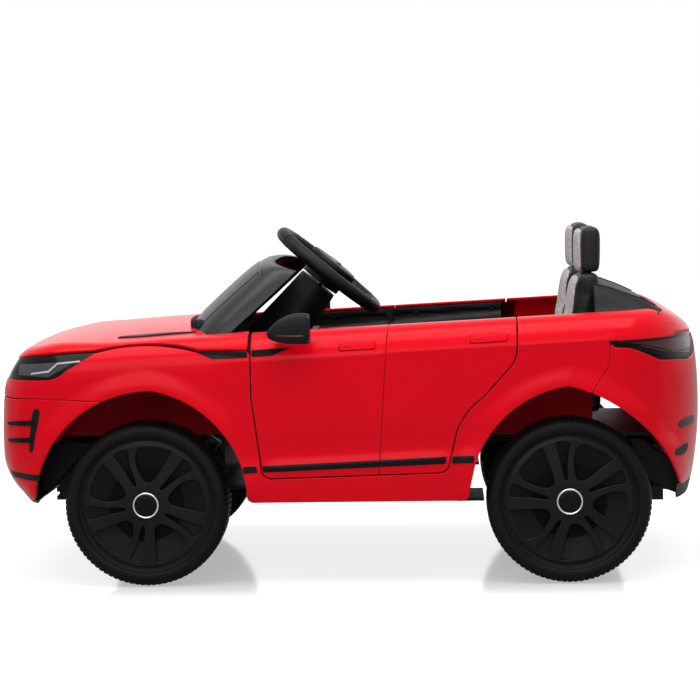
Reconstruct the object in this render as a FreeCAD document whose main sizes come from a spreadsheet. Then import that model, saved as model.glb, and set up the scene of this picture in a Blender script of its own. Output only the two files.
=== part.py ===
import FreeCAD, Part
import math
import os
import re
from FreeCAD import Placement, Rotation, Vector

# Frame: X forward, Y to the left, Z up, millimetres, origin on the floor midway between the axles.

doc = FreeCAD.newDocument("ride_on_car")
sheet = doc.addObject("Spreadsheet::Sheet", "dims")

# Driving sizes
SIZES = {
    "nose_reach": 525,
    "tail_reach": 507,
    "middle_ahead": 9.26,
    "body_width": 572,
    "belt_rake": 0.047,
    "nose_power": 5.5,
    "tail_power": 2.4,
    "lip_bottom": 101,
    "skin": 3,
    "lamp_depth": 12,
    "top_crown": 9,
    "door_gap": 5,
    "hinge_pin_radius": 1.4,
    "running_gap": 0.3,
    "wheelbase": 604,
    "wheel_track": 466,
    "tyre_radius": 118,
    "tyre_width": 78,
    "rim_radius": 96,
    "tread_wall": 5,
    "cover_thickness": 5,
    "axle_radius": 6,
    "king_pin_offset": 160,
    "king_pin_radius": 5,
    "steering_arm": 62,
    "crank_arm": 35,
    "crank_pin_radius": 5,
    "fork_play": 1,
    "column_tilt": 39.4,
    "hub_forward": 48,
    "hub_height": 440,
    "shaft_length": 318,
    "shaft_radius": 6,
    "rim_ring_radius": 88,
    "rim_tube_radius": 10,
    "floor_height": 122,
    "floor_thickness": 5,
    "front_deck_height": 165,
    "rear_deck_height": 200,
    "deck_thickness": 5,
    "tub_front_half": 118,
    "tub_rear_half": 172,
    "floor_half": 250,
    "gear_teeth": 48,
    "pinion_teeth": 12,
    "gear_module": 2.2,
    "gear_width": 12,
    "case_wall": 3,
    "motor_radius": 19,
    "motor_length": 58,
    "dash_top": 350,
    "dash_depth": 50,
    "dash_wall": 4,
    "seat_pan_height": 238,
    "cushion_length": 195,
    "cushion_thickness": 26,
    "seat_back_top": 503,
    "seat_pitch": 190,
    "seat_back_width": 150,
    "seat_wall": 4,
    "back_pad_height": 94,
    "back_pad_width": 116,
    "back_pad_depth": 14,
    "head_pad_height": 56,
    "head_pad_width": 112,
    "head_pad_depth": 9,
    "battery_length": 100,
    "battery_width": 150,
    "battery_height": 95,
    "button_radius": 8,
    "button_travel": 3,
}

for row, (name, value) in enumerate(SIZES.items(), 1):
    sheet.set("A%d" % row, name)
    sheet.set("B%d" % row, str(value))
    sheet.setAlias("B%d" % row, name)
doc.recompute()


def size(name):
    return float(sheet.get(name))


def cell_of(match):
    word = match.group()
    return "dims." + word if word in SIZES else word


def expr(value):
    return re.sub(r"[a-z_]+", cell_of, str(value))


# Document helpers: every size goes in as an expression on the sheet
PARTS = {}


def keep(label, obj):
    obj.Label = label
    PARTS[label] = obj
    return obj


def locate(obj, x=0, y=0, z=0):
    for key, value in zip("xyz", (x, y, z)):
        obj.setExpression(".Placement.Base." + key, expr(value))
    return obj


def slab(x0, x1, y0, y1, z0, z1):
    obj = doc.addObject("Part::Box", "slab")
    obj.setExpression("Length", expr("(%s) - (%s)" % (x1, x0)))
    obj.setExpression("Width", expr("(%s) - (%s)" % (y1, y0)))
    obj.setExpression("Height", expr("(%s) - (%s)" % (z1, z0)))
    return locate(obj, x0, y0, z0)


def rod(radius, length, x, y, z, axis="z"):
    obj = doc.addObject("Part::Cylinder", "rod")
    turn = {"x": (Vector(0, 1, 0), 90), "y": (Vector(1, 0, 0), -90), "z": (Vector(0, 0, 1), 0)}[axis]
    obj.Placement = Placement(Vector(), Rotation(*turn))
    obj.setExpression("Radius", expr(radius))
    obj.setExpression("Height", expr(length))
    return locate(obj, x, y, z)


def fuse(*shapes):
    if len(shapes) == 1:
        return shapes[0]
    obj = doc.addObject("Part::MultiFuse", "joined")
    obj.Shapes = list(shapes)
    obj.Refine = True
    return obj


def cut(base, *tools):
    obj = doc.addObject("Part::Cut", "cut")
    obj.Base = base
    obj.Tool = fuse(*tools)
    return obj


def mirrored(source):
    obj = doc.addObject("Part::Mirroring", "mirrored")
    obj.Source = source
    obj.Normal = (0, 1, 0)
    return obj


def rounded(base, radius, picks):
    doc.recompute()
    obj = doc.addObject("Part::Fillet", "rounded")
    obj.Base = base
    obj.Edges = [(i, radius, radius) for i, edge in enumerate(base.Shape.Edges, 1) if picks(edge)]
    return obj


def pair(obj):
    group = doc.addObject("Part::Compound", "pair")
    group.Links = [obj, mirrored(obj)]
    return group


def feature(shape):
    obj = doc.addObject("Part::Feature", "formed")
    obj.Shape = shape
    return obj


def sketch_on(body, role, wires):
    sketch = body.newObject("Sketcher::SketchObject", "outline")
    plane = [item for item in body.Origin.OriginFeatures if item.Role == role][0]
    sketch.AttachmentSupport = [(plane, "")]
    sketch.MapMode = "FlatFace"
    for points in wires:
        ends = [Vector(x, y, 0) for x, y in points]
        lines = [Part.LineSegment(a, b) for a, b in zip(ends, ends[1:] + ends[:1])]
        sketch.addGeometry(lines, False)
    return sketch


def turned_body(points):
    body = doc.addObject("PartDesign::Body", "turned")
    sketch = sketch_on(body, "XY_Plane", [points])
    turn = body.newObject("PartDesign::Revolution", "turn")
    turn.Profile = sketch
    turn.ReferenceAxis = (sketch, ["V_Axis"])
    turn.Angle = 360
    doc.recompute()
    return body


# Outlines in side view: a point is a straight run to it, a pair of points is an arc through the first
def side_wire(start, runs, y=0.0):
    def at(point):
        return Vector(point[0], y, point[1])
    edges = []
    here = at(start)
    for run in list(runs) + [start]:
        if isinstance(run[0], tuple):
            there = at(run[1])
            edges.append(Part.Arc(here, at(run[0]), there).toShape())
        else:
            there = at(run)
            edges.append(Part.makeLine(here, there))
        here = there
    return Part.Wire(edges)


def side_prism(wire, y0, y1):
    face = Part.Face(wire)
    face.translate(Vector(0, y0, 0))
    return face.extrude(Vector(0, y1 - y0, 0))


def mirror_shape(shape):
    return shape.mirror(Vector(0, 0, 0), Vector(0, 1, 0))


def block(x0, x1, y0, y1, z0, z1):
    return Part.makeBox(x1 - x0, y1 - y0, z1 - z0, Vector(x0, y0, z0))


front_x = size("wheelbase") / 2
rear_x = -front_x
axle_z = size("tyre_radius")
nose_end = size("nose_reach")
tail_end = -size("tail_reach")
half_width = size("body_width") / 2
skin = size("skin")
rake = size("belt_rake")

# Body envelope: raked waterlines as height, side inset, nose inset, tail inset
WATERLINES = [
    (90, 22, 33, 15),
    (125, 14, 12, 7),
    (165, 8, 3, 2),
    (195, 10, 0, 0),
    (230, 5, 0, 0),
    (280, 1.5, 2, 3),
    (318, 0, 6, 9),
    (336, 0, 10, 14),
    (352, 4, 18, 22),
    (366, 12, 28, 32),
    (378, 26, 42, 46),
    (392, 52, 66, 70),
    (408, 88, 100, 104),
]

# Where the straight sides end and the rounded nose and tail begin
NOSE_CORNER = 252
TAIL_CORNER = -360

# Top line over the nose, hood, belt, deck and tail: distance from the nose (or tail) and height
NOSE_TOP = [(-7, 262), (8, 312), (35, 338), (72, 351), (151, 363), (260, 371)]
BELT_TOP = [(100, 377), (-100, 385), (-300, 395)]
TAIL_TOP = [(107, 398), (57, 385), (14, 350), (-16, 300), (-30, 262)]


def waterline(level, grow):
    height, side_inset, nose_inset, tail_inset = level
    width = half_width - side_inset + grow
    steps = 8

    def corner(straight, end, power):
        points = []
        for step in range(steps + 1):
            turn = math.radians(90.0 * step / steps)
            x = straight + (end - straight) * math.cos(turn) ** (2 / power)
            y = width * math.sin(turn) ** (2 / power)
            points.append((x, y))
        return points

    rear = corner(TAIL_CORNER, tail_end + tail_inset - grow, size("tail_power"))
    front = corner(NOSE_CORNER, nose_end - nose_inset + grow, size("nose_power"))
    plan = rear + [(-180.0, width), (0.0, width), (130.0, width)] + front[::-1]
    points = [Vector(x, y, height - rake * x) for x, y in plan]
    curve = Part.BSplineCurve()
    curve.interpolate(points, InitialTangent=Vector(0, 1, 0), FinalTangent=Vector(0, -1, 0))
    return Part.Wire([curve.toShape(), Part.makeLine(points[-1], points[0])])


def top_section(y, drop):
    points = [Vector(nose_end - x, y, z - drop) for x, z in NOSE_TOP]
    points += [Vector(x, y, z - drop) for x, z in BELT_TOP]
    points += [Vector(tail_end + x, y, z - drop) for x, z in TAIL_TOP]
    curve = Part.BSplineCurve()
    curve.interpolate(points)
    low = Vector(tail_end - 78, y, -60)
    far = Vector(nose_end + 60, y, -60)
    under = [points[-1], low, far, points[0]]
    return Part.Wire([curve.toShape()] + [Part.makeLine(a, b) for a, b in zip(under, under[1:])])


def envelope(grow):
    levels = list(WATERLINES)
    if grow < 0:
        height, side_inset, nose_inset, tail_inset = levels[0]
        levels[0] = (height - 10, side_inset, nose_inset, tail_inset)
    hull = Part.makeLoft([waterline(level, grow) for level in levels], True, False)
    drop = size("top_crown")
    wide = half_width + 40
    edge_line = drop - grow
    tops = [top_section(-wide, edge_line), top_section(0, -grow), top_section(wide, edge_line)]
    crown = Part.makeLoft(tops, True, False)
    return hull.common(crown)


outer_hull = envelope(0)
shell = outer_hull.cut(envelope(-skin))
thick_shell = outer_hull.cut(envelope(-size("lamp_depth")))
WIDE = half_width + 60

# Side outlines that part the shell
front_arch = side_wire((front_x - 145, axle_z + 24), [
    ((front_x - 107, axle_z + 111), (front_x - 12, axle_z + 166)),
    ((front_x + 96, axle_z + 127), (front_x + 158, axle_z + 12)),
    (front_x + 158, 0), (front_x - 145, 0)])
rear_arch = side_wire((rear_x + 134.5, axle_z + 50), [
    ((rear_x + 90, axle_z + 124), (rear_x + 1, axle_z + 166)),
    ((rear_x - 95, axle_z + 115), (rear_x - 158, axle_z + 20)),
    (rear_x - 158, 0), (rear_x + 142, 0), (rear_x + 142, axle_z + 16)])
door_front = 147.5
sill_top = 156
door_outline = side_wire((door_front, 460), [
    (door_front - 0.5, 271), (134.5, sill_top + 14),
    ((131, sill_top + 4), (122, sill_top)),
    (rear_x + 186, sill_top + 6),
    ((rear_x + 176, sill_top + 9), (rear_x + 170, sill_top + 20)),
    (rear_x + 160, sill_top + 63),
    ((rear_x + 148, sill_top + 87), (rear_x + 122, sill_top + 113)),
    (rear_x + 84, sill_top + 155),
    ((rear_x + 77, sill_top + 166), (rear_x + 74, sill_top + 180)),
    (rear_x + 73, 460)])
hood_outline = side_wire((front_x + 70, 337), [
    ((front_x - 5, 347), (front_x - 80, 337)),
    (front_x - 97, 337), (front_x - 97, 460), (nose_end + 40, 460), (nose_end + 40, 317),
    (nose_end - 25, 326), (nose_end - 57, 331)])
head_lamp_outline = side_wire((front_x + 71, 336), [
    (nose_end - 57, 330), (nose_end - 25, 325), (nose_end + 40, 316), (nose_end + 40, 300),
    (nose_end - 87, 300),
    ((nose_end - 101, 304), (nose_end - 113, 312))])
nose_outline = side_wire((nose_end + 40, 274), [
    (nose_end - 73, 273), (front_x + 40, 269), (front_x + 40, 0), (nose_end + 40, 0)])
tail_lamp_outline = side_wire((rear_x - 56, 351), [
    (tail_end + 39, 361), (tail_end - 3, 347), (tail_end - 58, 345), (tail_end - 58, 326),
    (tail_end + 76, 325),
    ((tail_end + 93, 331), (tail_end + 109, 341)),
    (tail_end + 132, 343.5)])
tail_outline = side_wire((rear_x - 30, 272), [
    (rear_x - 56.5, 314.5), (rear_x - 56.5, 345), (tail_end + 52, 355), (tail_end + 52, 460),
    (tail_end - 58, 460), (tail_end - 58, 0), (rear_x - 30, 0)])
lower_outline = side_wire((front_x - 145, 130), [
    ((front_x - 148, 123), (front_x - 155, 120)), (rear_x + 152, 120),
    ((rear_x + 145, 123), (rear_x + 142, 130)), (rear_x + 142, 0), (front_x - 145, 0)])

# Cockpit opening from above, with the curved cowl line in front
opening_half = half_width - 44
cowl_x = front_x - 90
deck_end = tail_end + 69
plan_front = Vector(cowl_x + 45, 0, 330)
plan_points = [Vector(cowl_x, opening_half, 330), Vector(deck_end, opening_half, 330)]
plan_points += [Vector(p.x, -p.y, p.z) for p in plan_points[::-1]]
plan_edges = [Part.makeLine(a, b) for a, b in zip(plan_points, plan_points[1:])]
plan_edges.append(Part.Arc(plan_points[-1], plan_front, plan_points[0]).toShape())
opening = Part.Face(Part.Wire(plan_edges)).extrude(Vector(0, 0, 130))
open_shell = shell.cut(opening)


def grown(wire, amount):
    return wire.makeOffset2D(amount, 0)


front_arch_tool = side_prism(front_arch, 0, WIDE)
rear_arch_tool = side_prism(rear_arch, 0, WIDE)
door_tool = side_prism(door_outline, 0, WIDE)
door_hole = side_prism(grown(door_outline, size("door_gap")), 0, WIDE)
hood_tool = side_prism(hood_outline, 0, WIDE)
nose_tool = side_prism(nose_outline, 0, WIDE)
tail_tool = side_prism(tail_outline, 0, WIDE)
lower_tool = side_prism(lower_outline, 0, WIDE)
grille_half = half_width * 0.59
tail_lamp_inner = half_width * 0.46
head_lamp_tool = side_prism(head_lamp_outline, grille_half, WIDE)
tail_lamp_tool = side_prism(tail_lamp_outline, tail_lamp_inner, WIDE)
grille_tool = block(nose_end - 90, nose_end + 20, 0, grille_half, 274, 316.5)

arched = open_shell.cut(Part.makeCompound([front_arch_tool, rear_arch_tool, lower_tool]))


def main_solid(shape):
    return max(shape.Solids, key=lambda solid: solid.Volume)


hood_half = main_solid(arched.common(hood_tool))
nose_half = main_solid(arched.common(nose_tool))
tail_half = main_solid(arched.common(tail_tool).cut(tail_lamp_tool))
side_half = arched.cut(Part.makeCompound([hood_tool, nose_tool]))
side_half = side_half.cut(Part.makeCompound([tail_tool, head_lamp_tool]))
side_half = main_solid(side_half.cut(tail_lamp_tool).cut(grille_tool).cut(door_hole))
door_skin = main_solid(arched.common(door_tool))

floor_top = size("floor_height") + size("floor_thickness")
front_deck_top = size("front_deck_height") + size("deck_thickness")
rear_deck_top = size("rear_deck_height") + size("deck_thickness")


def within(shape):
    return shape.common(outer_hull)


def both(shape):
    return shape.fuse(mirror_shape(shape)).removeSplitter()


def two_sides(label, shape):
    keep(label + "_left", feature(shape))
    keep(label + "_right", feature(mirror_shape(shape)))


# Door hinge: pin just inside the skin, near the front edge of the door
hinge_x = door_front - 1
hinge_y = half_width - 7
pin = size("hinge_pin_radius")
eye = 2 * pin
hinge_low = 294
hinge_high = 330


def hinge_eye(z0, z1, toward):
    ring = Part.makeCylinder(eye, z1 - z0, Vector(hinge_x, hinge_y, z0))
    low = hinge_y - eye
    if toward > 0:
        arm = block(hinge_x, hinge_x + 15.5, low, hinge_y - 0.6, z0, z1)
        rise = within(block(hinge_x + 9.5, hinge_x + 15.5, low, half_width, z0, z1))
        return ring.fuse(arm).fuse(rise)
    return ring.fuse(within(block(hinge_x - 13, hinge_x, low, half_width, z0, z1)))


# Body side: skin with sill flange, wheel housings and hinge eyes
sill_in = size("floor_half") - 24
sill_flange = within(block(rear_x + 152, front_x - 162, sill_in, half_width, floor_top, floor_top + skin))
front_wall = block(front_x - 135, front_x + 128, 140, 140 + skin, axle_z + 90, axle_z + 178)
front_roof = within(block(front_x - 135, front_x + 128, 140, half_width, axle_z + 175, axle_z + 178))
rear_wall = block(rear_x - 33, rear_x + 130, 178, 178 + skin, axle_z + 50, axle_z + 178)
rear_roof = within(block(rear_x - 33, rear_x + 130, 178, half_width, axle_z + 175, axle_z + 178))
door_sweep = door_hole.common(block(tail_end, nose_end, size("floor_half") - 20, WIDE, 0, 460))
side = side_half.fuse([sill_flange, front_wall, front_roof, rear_wall, rear_roof.cut(door_sweep)])
side = side.fuse([hinge_eye(hinge_low, hinge_low + 7, 1), hinge_eye(hinge_high - 7, hinge_high, 1)])
pin_bore = Part.makeCylinder(pin + 0.05, 60, Vector(hinge_x, hinge_y, hinge_low - 10))
side = side.cut(pin_bore).removeSplitter()
two_sides("body_side", side)
hinge_pin = rod("hinge_pin_radius", hinge_high - hinge_low + 2, hinge_x, hinge_y, hinge_low - 1)
keep("door_hinge_pins", pair(hinge_pin))

# Doors: skin with hinge barrel, and a black trim panel inside
barrel = hinge_eye(hinge_low + 7.5, hinge_high - 7.5, -1)
door_bore = Part.makeCylinder(pin + size("running_gap"), 60, Vector(hinge_x, hinge_y, hinge_low - 10))
two_sides("door", door_skin.fuse(barrel).cut(door_bore).removeSplitter())
trim_outline = grown(door_outline, -6)
two_sides("door_trim", within(side_prism(trim_outline, opening_half - 4, opening_half)))

# Hood, bumpers and lower trims
hood_post = within(block(front_x - 3, front_x + 5, 98, 106, front_deck_top, 400))
keep("hood", feature(both(hood_half.fuse(hood_post))))
lip_top = 118
under_lip = block(0, nose_end + 40, -1, WIDE, 0, lip_top)
lip_tool = block(0, nose_end + 40, -1, WIDE, size("lip_bottom"), lip_top)
shelf_depth = 95
front_half = size("tub_front_half")
front_shelf = within(block(
    nose_end - shelf_depth, nose_end + 10, 0, front_half, front_deck_top, front_deck_top + skin))
keep("front_bumper", feature(both(main_solid(nose_half.cut(under_lip)).fuse(front_shelf))))
keep("front_lip", feature(both(main_solid(nose_half.common(lip_tool)))))
diffuser_tool = block(tail_end - 58, 0, -1, WIDE, 0, 132)
rear_half = size("tub_rear_half")
rear_shelf_end = -430
rear_shelf = within(block(
    tail_end - 10, rear_shelf_end, 0, rear_half, rear_deck_top, rear_deck_top + skin))
keep("rear_bumper", feature(both(main_solid(tail_half.cut(diffuser_tool)).fuse(rear_shelf))))
keep("rear_diffuser", feature(both(main_solid(tail_half.common(diffuser_tool)))))

# Lamps and grille
lamp_back = thick_shell.cut(shell)
head_lens = main_solid(shell.common(head_lamp_tool))
head_body = main_solid(lamp_back.common(head_lamp_tool))
tail_lens = main_solid(shell.common(tail_lamp_tool))
tail_body = main_solid(lamp_back.common(tail_lamp_tool))
keep("head_lamp_lenses", pair(feature(head_lens)))
keep("head_lamp_housings", pair(feature(head_body)))
keep("tail_lamp_lenses", pair(feature(tail_lens)))
keep("tail_lamp_housings", pair(feature(tail_body)))
grille = both(main_solid(thick_shell.common(grille_tool).cut(hood_tool)))
for row in range(4):
    low = 279 + 9 * row
    slot_half = grille_half - 8
    grille = grille.cut(block(nose_end - 95, nose_end + 30, -slot_half, slot_half, low, low + 5))
keep("grille", feature(main_solid(grille)))

# Chassis tub: foot well, front and rear decks, bulkheads, axle hangers
hub_at = Vector(size("hub_forward"), 0, size("hub_height"))
column = Placement(hub_at, Rotation(Vector(0, 1, 0), -size("column_tilt")))


def on_column(obj):
    group = doc.addObject("Part::Compound", "on_column")
    group.Links = [obj]
    group.Placement = column
    return group


def column_rod(radius, low, high):
    return rod(radius, "(%s) - (%s)" % (high, low), 0, 0, low)


DECK_TOP = "front_deck_height + deck_thickness"
REAR_TOP = "rear_deck_height + deck_thickness"
FLOOR_TOP = "floor_height + floor_thickness"
front_deck = cut(
    slab(200, "wheelbase / 2 + 153", "-tub_front_half", "tub_front_half", "front_deck_height", DECK_TOP),
    slab(205, "wheelbase / 2 - 10", -48, 48, "front_deck_height - 1", DECK_TOP + " + 1"))
shaft_hole = on_column(column_rod("shaft_radius + running_gap", "-shaft_length", 0))
shaft_boss = on_column(column_rod("shaft_radius + 9", -262, -222))
tub_bodies = [
    slab(-150, "wheelbase / 2 - 162", "-floor_half", "floor_half", "floor_height", FLOOR_TOP),
    slab("wheelbase / 2 - 163", 205, -135, 135, "floor_height", FLOOR_TOP),
    slab(200, 205, -135, 135, "floor_height", "dash_top - dash_depth"),
    shaft_boss,
    front_deck,
    slab("wheelbase / 2 + 103", "wheelbase / 2 + 153", "-tub_front_half", "tub_front_half", 106,
         "front_deck_height"),
    slab(-155, -150, -240, 240, "floor_height", REAR_TOP),
    slab("-wheelbase / 2 - 153", -150, "-tub_rear_half", "tub_rear_half", "rear_deck_height", REAR_TOP),
    slab("-wheelbase / 2 - 141", "-wheelbase / 2 - 119", -175, 175, 106, 126),
]
for side_sign in (1, -1):
    near = 95 * side_sign - 3 + 3 * side_sign
    hanger = slab("-wheelbase / 2 - 28", "-wheelbase / 2 + 28", near, near + 6, 100, "rear_deck_height")
    post = 70 * side_sign - 10
    strut = slab("-wheelbase / 2 - 138", "-wheelbase / 2 - 122", post, post + 20, 120, "rear_deck_height")
    tub_bodies += [hanger, strut]
PEDAL_X = 125
PEDAL_Y = -95
PEDAL_PIN = 2.5
for lug in (PEDAL_Y - 34.5, PEDAL_Y + 28.5):
    tub_bodies.append(slab(PEDAL_X - 6, PEDAL_X + 6, lug, lug + 6, FLOOR_TOP, FLOOR_TOP + " + 14"))
tub_bodies.append(rod(PEDAL_PIN, 60, PEDAL_X, PEDAL_Y - 30, FLOOR_TOP + " + 8", "y"))
axle_hole = rod("axle_radius + 0.05", 260, "-wheelbase / 2", -130, "tyre_radius", "y")
rib_cuts = []
for low in (112, 124, 136, 148):
    rib_cuts.append(slab("wheelbase / 2 + 149", "wheelbase / 2 + 160", -200, 200, low, low + 6))
keep("chassis_tub", cut(fuse(*tub_bodies), shaft_hole, axle_hole, *rib_cuts))

# Front axle: beam, king pins, knuckles, tie rod
FX = "wheelbase / 2"
beam_parts = [slab(FX + " - 16", FX + " + 16", -140, 140, "tyre_radius - 18", "tyre_radius + 18")]
beam_holes = []
for side_sign in (1, -1):
    ear = 152 * side_sign - 22
    beam_parts.append(slab(FX + " - 14", FX + " + 14", ear, ear + 44, "tyre_radius - 22", "tyre_radius - 17"))
    beam_parts.append(slab(FX + " - 14", FX + " + 14", ear, ear + 44, "tyre_radius + 17", "tyre_radius + 22"))
    leg = 75 * side_sign - 15
    leg_low = "tyre_radius + 18"
    beam_parts.append(slab(FX + " - 12", FX + " + 12", leg, leg + 30, leg_low, "front_deck_height"))
    pin_y = "king_pin_offset * %d" % side_sign
    beam_holes.append(rod("king_pin_radius + 0.05", 70, FX, pin_y, "tyre_radius - 35"))
keep("front_axle_beam", cut(fuse(*beam_parts), *beam_holes))
king_pin = fuse(
    rod("king_pin_radius", 52, FX, "king_pin_offset", "tyre_radius - 30"),
    rod("king_pin_radius + 3", 5, FX, "king_pin_offset", "tyre_radius + 22"))
keep("king_pins", pair(king_pin))
ARM = FX + " - steering_arm"
KP = "king_pin_offset"
HUB_Z = "tyre_radius"
stub_length = "wheel_track / 2 - king_pin_offset + 23"
collar_length = "wheel_track / 2 - tyre_width / 2 - king_pin_offset - 8.3"
ball_radius = 4
knuckle = cut(
    fuse(
        rod("king_pin_radius + 7", 33.2, FX, KP, HUB_Z + " - 16.6"),
        rod("axle_radius", stub_length, FX, KP + " + 8", HUB_Z, "y"),
        rod("axle_radius + 4", collar_length, FX, KP + " + 8", HUB_Z, "y"),
        rod("axle_radius + 4", 7, FX, "wheel_track / 2 + 22.3", HUB_Z, "y"),
        slab(ARM + " - 9", FX, KP + " - 9", KP + " + 9", HUB_Z + " - 14", HUB_Z + " - 6"),
        rod(ball_radius, 12, ARM, KP, HUB_Z + " - 6")),
    rod("king_pin_radius + running_gap", 60, FX, KP, HUB_Z + " - 30"))
keep("knuckle_left", knuckle)
keep("knuckle_right", mirrored(knuckle))
fork = "crank_pin_radius + fork_play"
TIE_LOW = HUB_Z + " - 5"
TIE_TOP = HUB_Z + " + 3"
FORK_TOP = HUB_Z + " + 40"
fork_rear = ARM + " - 18"
fork_front = ARM + " + 28"
tie_parts = [slab(ARM + " - 5", ARM + " + 5", "-" + KP, KP, TIE_LOW, TIE_TOP)]
tie_holes = []
for side_sign in (1, -1):
    end = "king_pin_offset * %d" % side_sign
    tie_parts.append(rod(9, 8, ARM, end, TIE_LOW))
    tie_holes.append(rod("%d + running_gap" % ball_radius, 20, ARM, end, HUB_Z + " - 10"))
tie_parts.append(slab(fork_rear, fork_front, fork, fork + " + 4", TIE_LOW, FORK_TOP))
tie_parts.append(slab(fork_rear, fork_front, "-(" + fork + ") - 4", "-(" + fork + ")", TIE_LOW, FORK_TOP))
tie_parts.append(slab(fork_rear, fork_front, "-(" + fork + ") - 4", fork + " + 4", TIE_LOW, TIE_TOP))
keep("tie_rod", cut(fuse(*tie_parts), *tie_holes))

# Steering column, built along its own axis with the hub at the origin
crank = slab("-crank_arm - 7", 0, -7, 7, "-shaft_length", "-shaft_length + 6")
crank_pin = rod("crank_pin_radius", 46, "-crank_arm", 0, "-shaft_length - 40")
keep("steering_shaft", on_column(fuse(column_rod("shaft_radius", "-shaft_length", -22), crank, crank_pin)))
ring = doc.addObject("Part::Torus", "ring")
ring.setExpression("Radius1", expr("rim_ring_radius"))
ring.setExpression("Radius2", expr("rim_tube_radius"))
spokes = [
    slab("-rim_ring_radius", -20, -14, 14, -9, -1),
    slab(-8, 14, 20, "rim_ring_radius", -9, -1),
    slab(-8, 14, "-rim_ring_radius", -20, -9, -1),
]
keep("steering_wheel", on_column(fuse(ring, column_rod(32, -22, 2), *spokes)))
horn_radius = 10
pad_disc = rounded(column_rod(40, 2, 16), 5, lambda edge: edge.CenterOfMass.z > 15)
keep("steering_hub_pad", on_column(cut(pad_disc, column_rod(horn_radius + 0.4, 7, 20))))
keep("horn_button", on_column(column_rod(horn_radius, 10.5, 19)))
cover_cone = doc.addObject("Part::Cone", "cover_cone")
cover_cone.Radius1 = 42
cover_cone.Radius2 = 31
cover_cone.Height = 130
cover_cone.Placement = Placement(Vector(0, 0, -156), Rotation())
cover = on_column(cut(cover_cone, column_rod("shaft_radius + 2", -200, 0)))
keep("column_cover", cut(cover, slab(-100, 300, -100, 100, 0, "dash_top")))

# Dashboard with a pod for the column, button and switch pockets
dash = fuse(
    slab(120, "wheelbase / 2 - 52", -225, 225, "dash_top - dash_depth", "dash_top"),
    slab(66, 121, -62, 62, "dash_top - dash_depth", "dash_top"))
dash_bore = on_column(column_rod("shaft_radius + 2", -300, 0))
DASH_MID = "dash_top - dash_depth / 2"
BUTTON_Y = 150
SWITCH_Y = -150
SWITCH_PIN = 2.5
button_bore = rod("button_radius + running_gap", 16, 119, BUTTON_Y, DASH_MID, "x")
switch_pocket = slab(119, 136, SWITCH_Y - 18, SWITCH_Y + 18, DASH_MID + " - 11", DASH_MID + " + 11")
pivot_bore = rod("%s + running_gap" % SWITCH_PIN, 44, 126, SWITCH_Y - 22, DASH_MID, "y")
dash_under = "dash_top - dash_depth - 1"
dash_roof = "dash_top - dash_wall"
dash_hollow = slab("120 + dash_wall", "wheelbase / 2 - 52 - dash_wall", -110, 110, dash_under, dash_roof)
pod_hollow = slab("66 + dash_wall", 121, "-62 + dash_wall", "62 - dash_wall", dash_under, dash_roof)
keep("dashboard", cut(dash, dash_bore, button_bore, switch_pocket, pivot_bore, dash_hollow, pod_hollow))
keep("power_button", rod("button_radius", 14, "120 - button_travel - 1", BUTTON_Y, DASH_MID, "x"))
rocker = doc.addObject("PartDesign::Body", "rocker")
rocker_sketch = sketch_on(rocker, "XZ_Plane", [[(114, -9.5), (117, 0), (114, 9.5), (132, 9.5), (132, -9.5)]])
rocker_pad = rocker.newObject("PartDesign::Pad", "rocker_pad")
rocker_pad.Profile = rocker_sketch
rocker_pad.Length = 34
locate(rocker, 0, SWITCH_Y + 17, DASH_MID)
rocker_pivot = rod(SWITCH_PIN, 41, 126, SWITCH_Y - 20.5, DASH_MID, "y")
keep("direction_switch", fuse(rocker, rocker_pivot))

# Foot pedal, hinged at the heel
pedal = cut(
    fuse(slab(0, 70, -28, 28, -4, 4), rod(5, 56, 0, -28, 0, "y")),
    rod("%s + running_gap" % PEDAL_PIN, 60, 0, -30, 0, "y"))
pedal.Placement = Placement(Vector(PEDAL_X, PEDAL_Y, floor_top + 8), Rotation(Vector(0, 1, 0), -30))
keep("foot_pedal", pedal)

# Windscreen shell: upright skirt in the cowl, then a leaning face with side pillars
dash_top = size("dash_top")
SCREEN_FOOT = 366
SCREEN_TOP = 458


def screen_ring(z, front_side, front_middle, half, depth):
    a = Vector(front_side, half, z)
    b = Vector(front_side, -half, z)
    back = front_side - depth
    arc = Part.Arc(a, Vector(front_middle, 0, z), b).toShape()
    c = Vector(back, -half, z)
    d = Vector(back, half, z)
    return Part.Wire([arc, Part.makeLine(b, c), Part.makeLine(c, d), Part.makeLine(d, a)])


def screen_solid(inset):
    half = opening_half - 6 - inset
    low = dash_top - (10 if inset else 0)
    reach = 30 if inset else 0
    foot_side = cowl_x - 2 - inset
    foot_middle = cowl_x + 42 - inset
    skirt = Part.makeLoft([
        screen_ring(low, foot_side, foot_middle, half, 48 + reach),
        screen_ring(SCREEN_FOOT, foot_side, foot_middle, half, 48 + reach)], True, True)
    top_side = 130 - inset * 0.4
    lean = Part.makeLoft([
        screen_ring(SCREEN_FOOT, foot_side, foot_middle, half, 48 + reach),
        screen_ring(SCREEN_TOP - inset, top_side, top_side + 14, half - 28, 40 + reach)], True, True)
    return skirt.fuse(lean)


windscreen = screen_solid(0).cut(screen_solid(4)).removeSplitter()
keep("windscreen", feature(main_solid(windscreen)))

# Seat: pan on the rear deck, bench cushion, backs with head rests and pads
seat_front = -95
seat_rear = rear_x - 4
pan_half = "tub_rear_half"
pan_roof = "seat_pan_height - 4"
seat_pan = cut(
    slab(seat_rear, seat_front, "-" + pan_half, pan_half, REAR_TOP, "seat_pan_height"),
    slab(seat_rear + 6, seat_front - 6, 12, pan_half + " - 10", "rear_deck_height", pan_roof),
    slab(seat_rear + 6, seat_front - 6, "-" + pan_half + " + 10", -12, "rear_deck_height", pan_roof))
keep("seat_pan", seat_pan)


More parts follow.
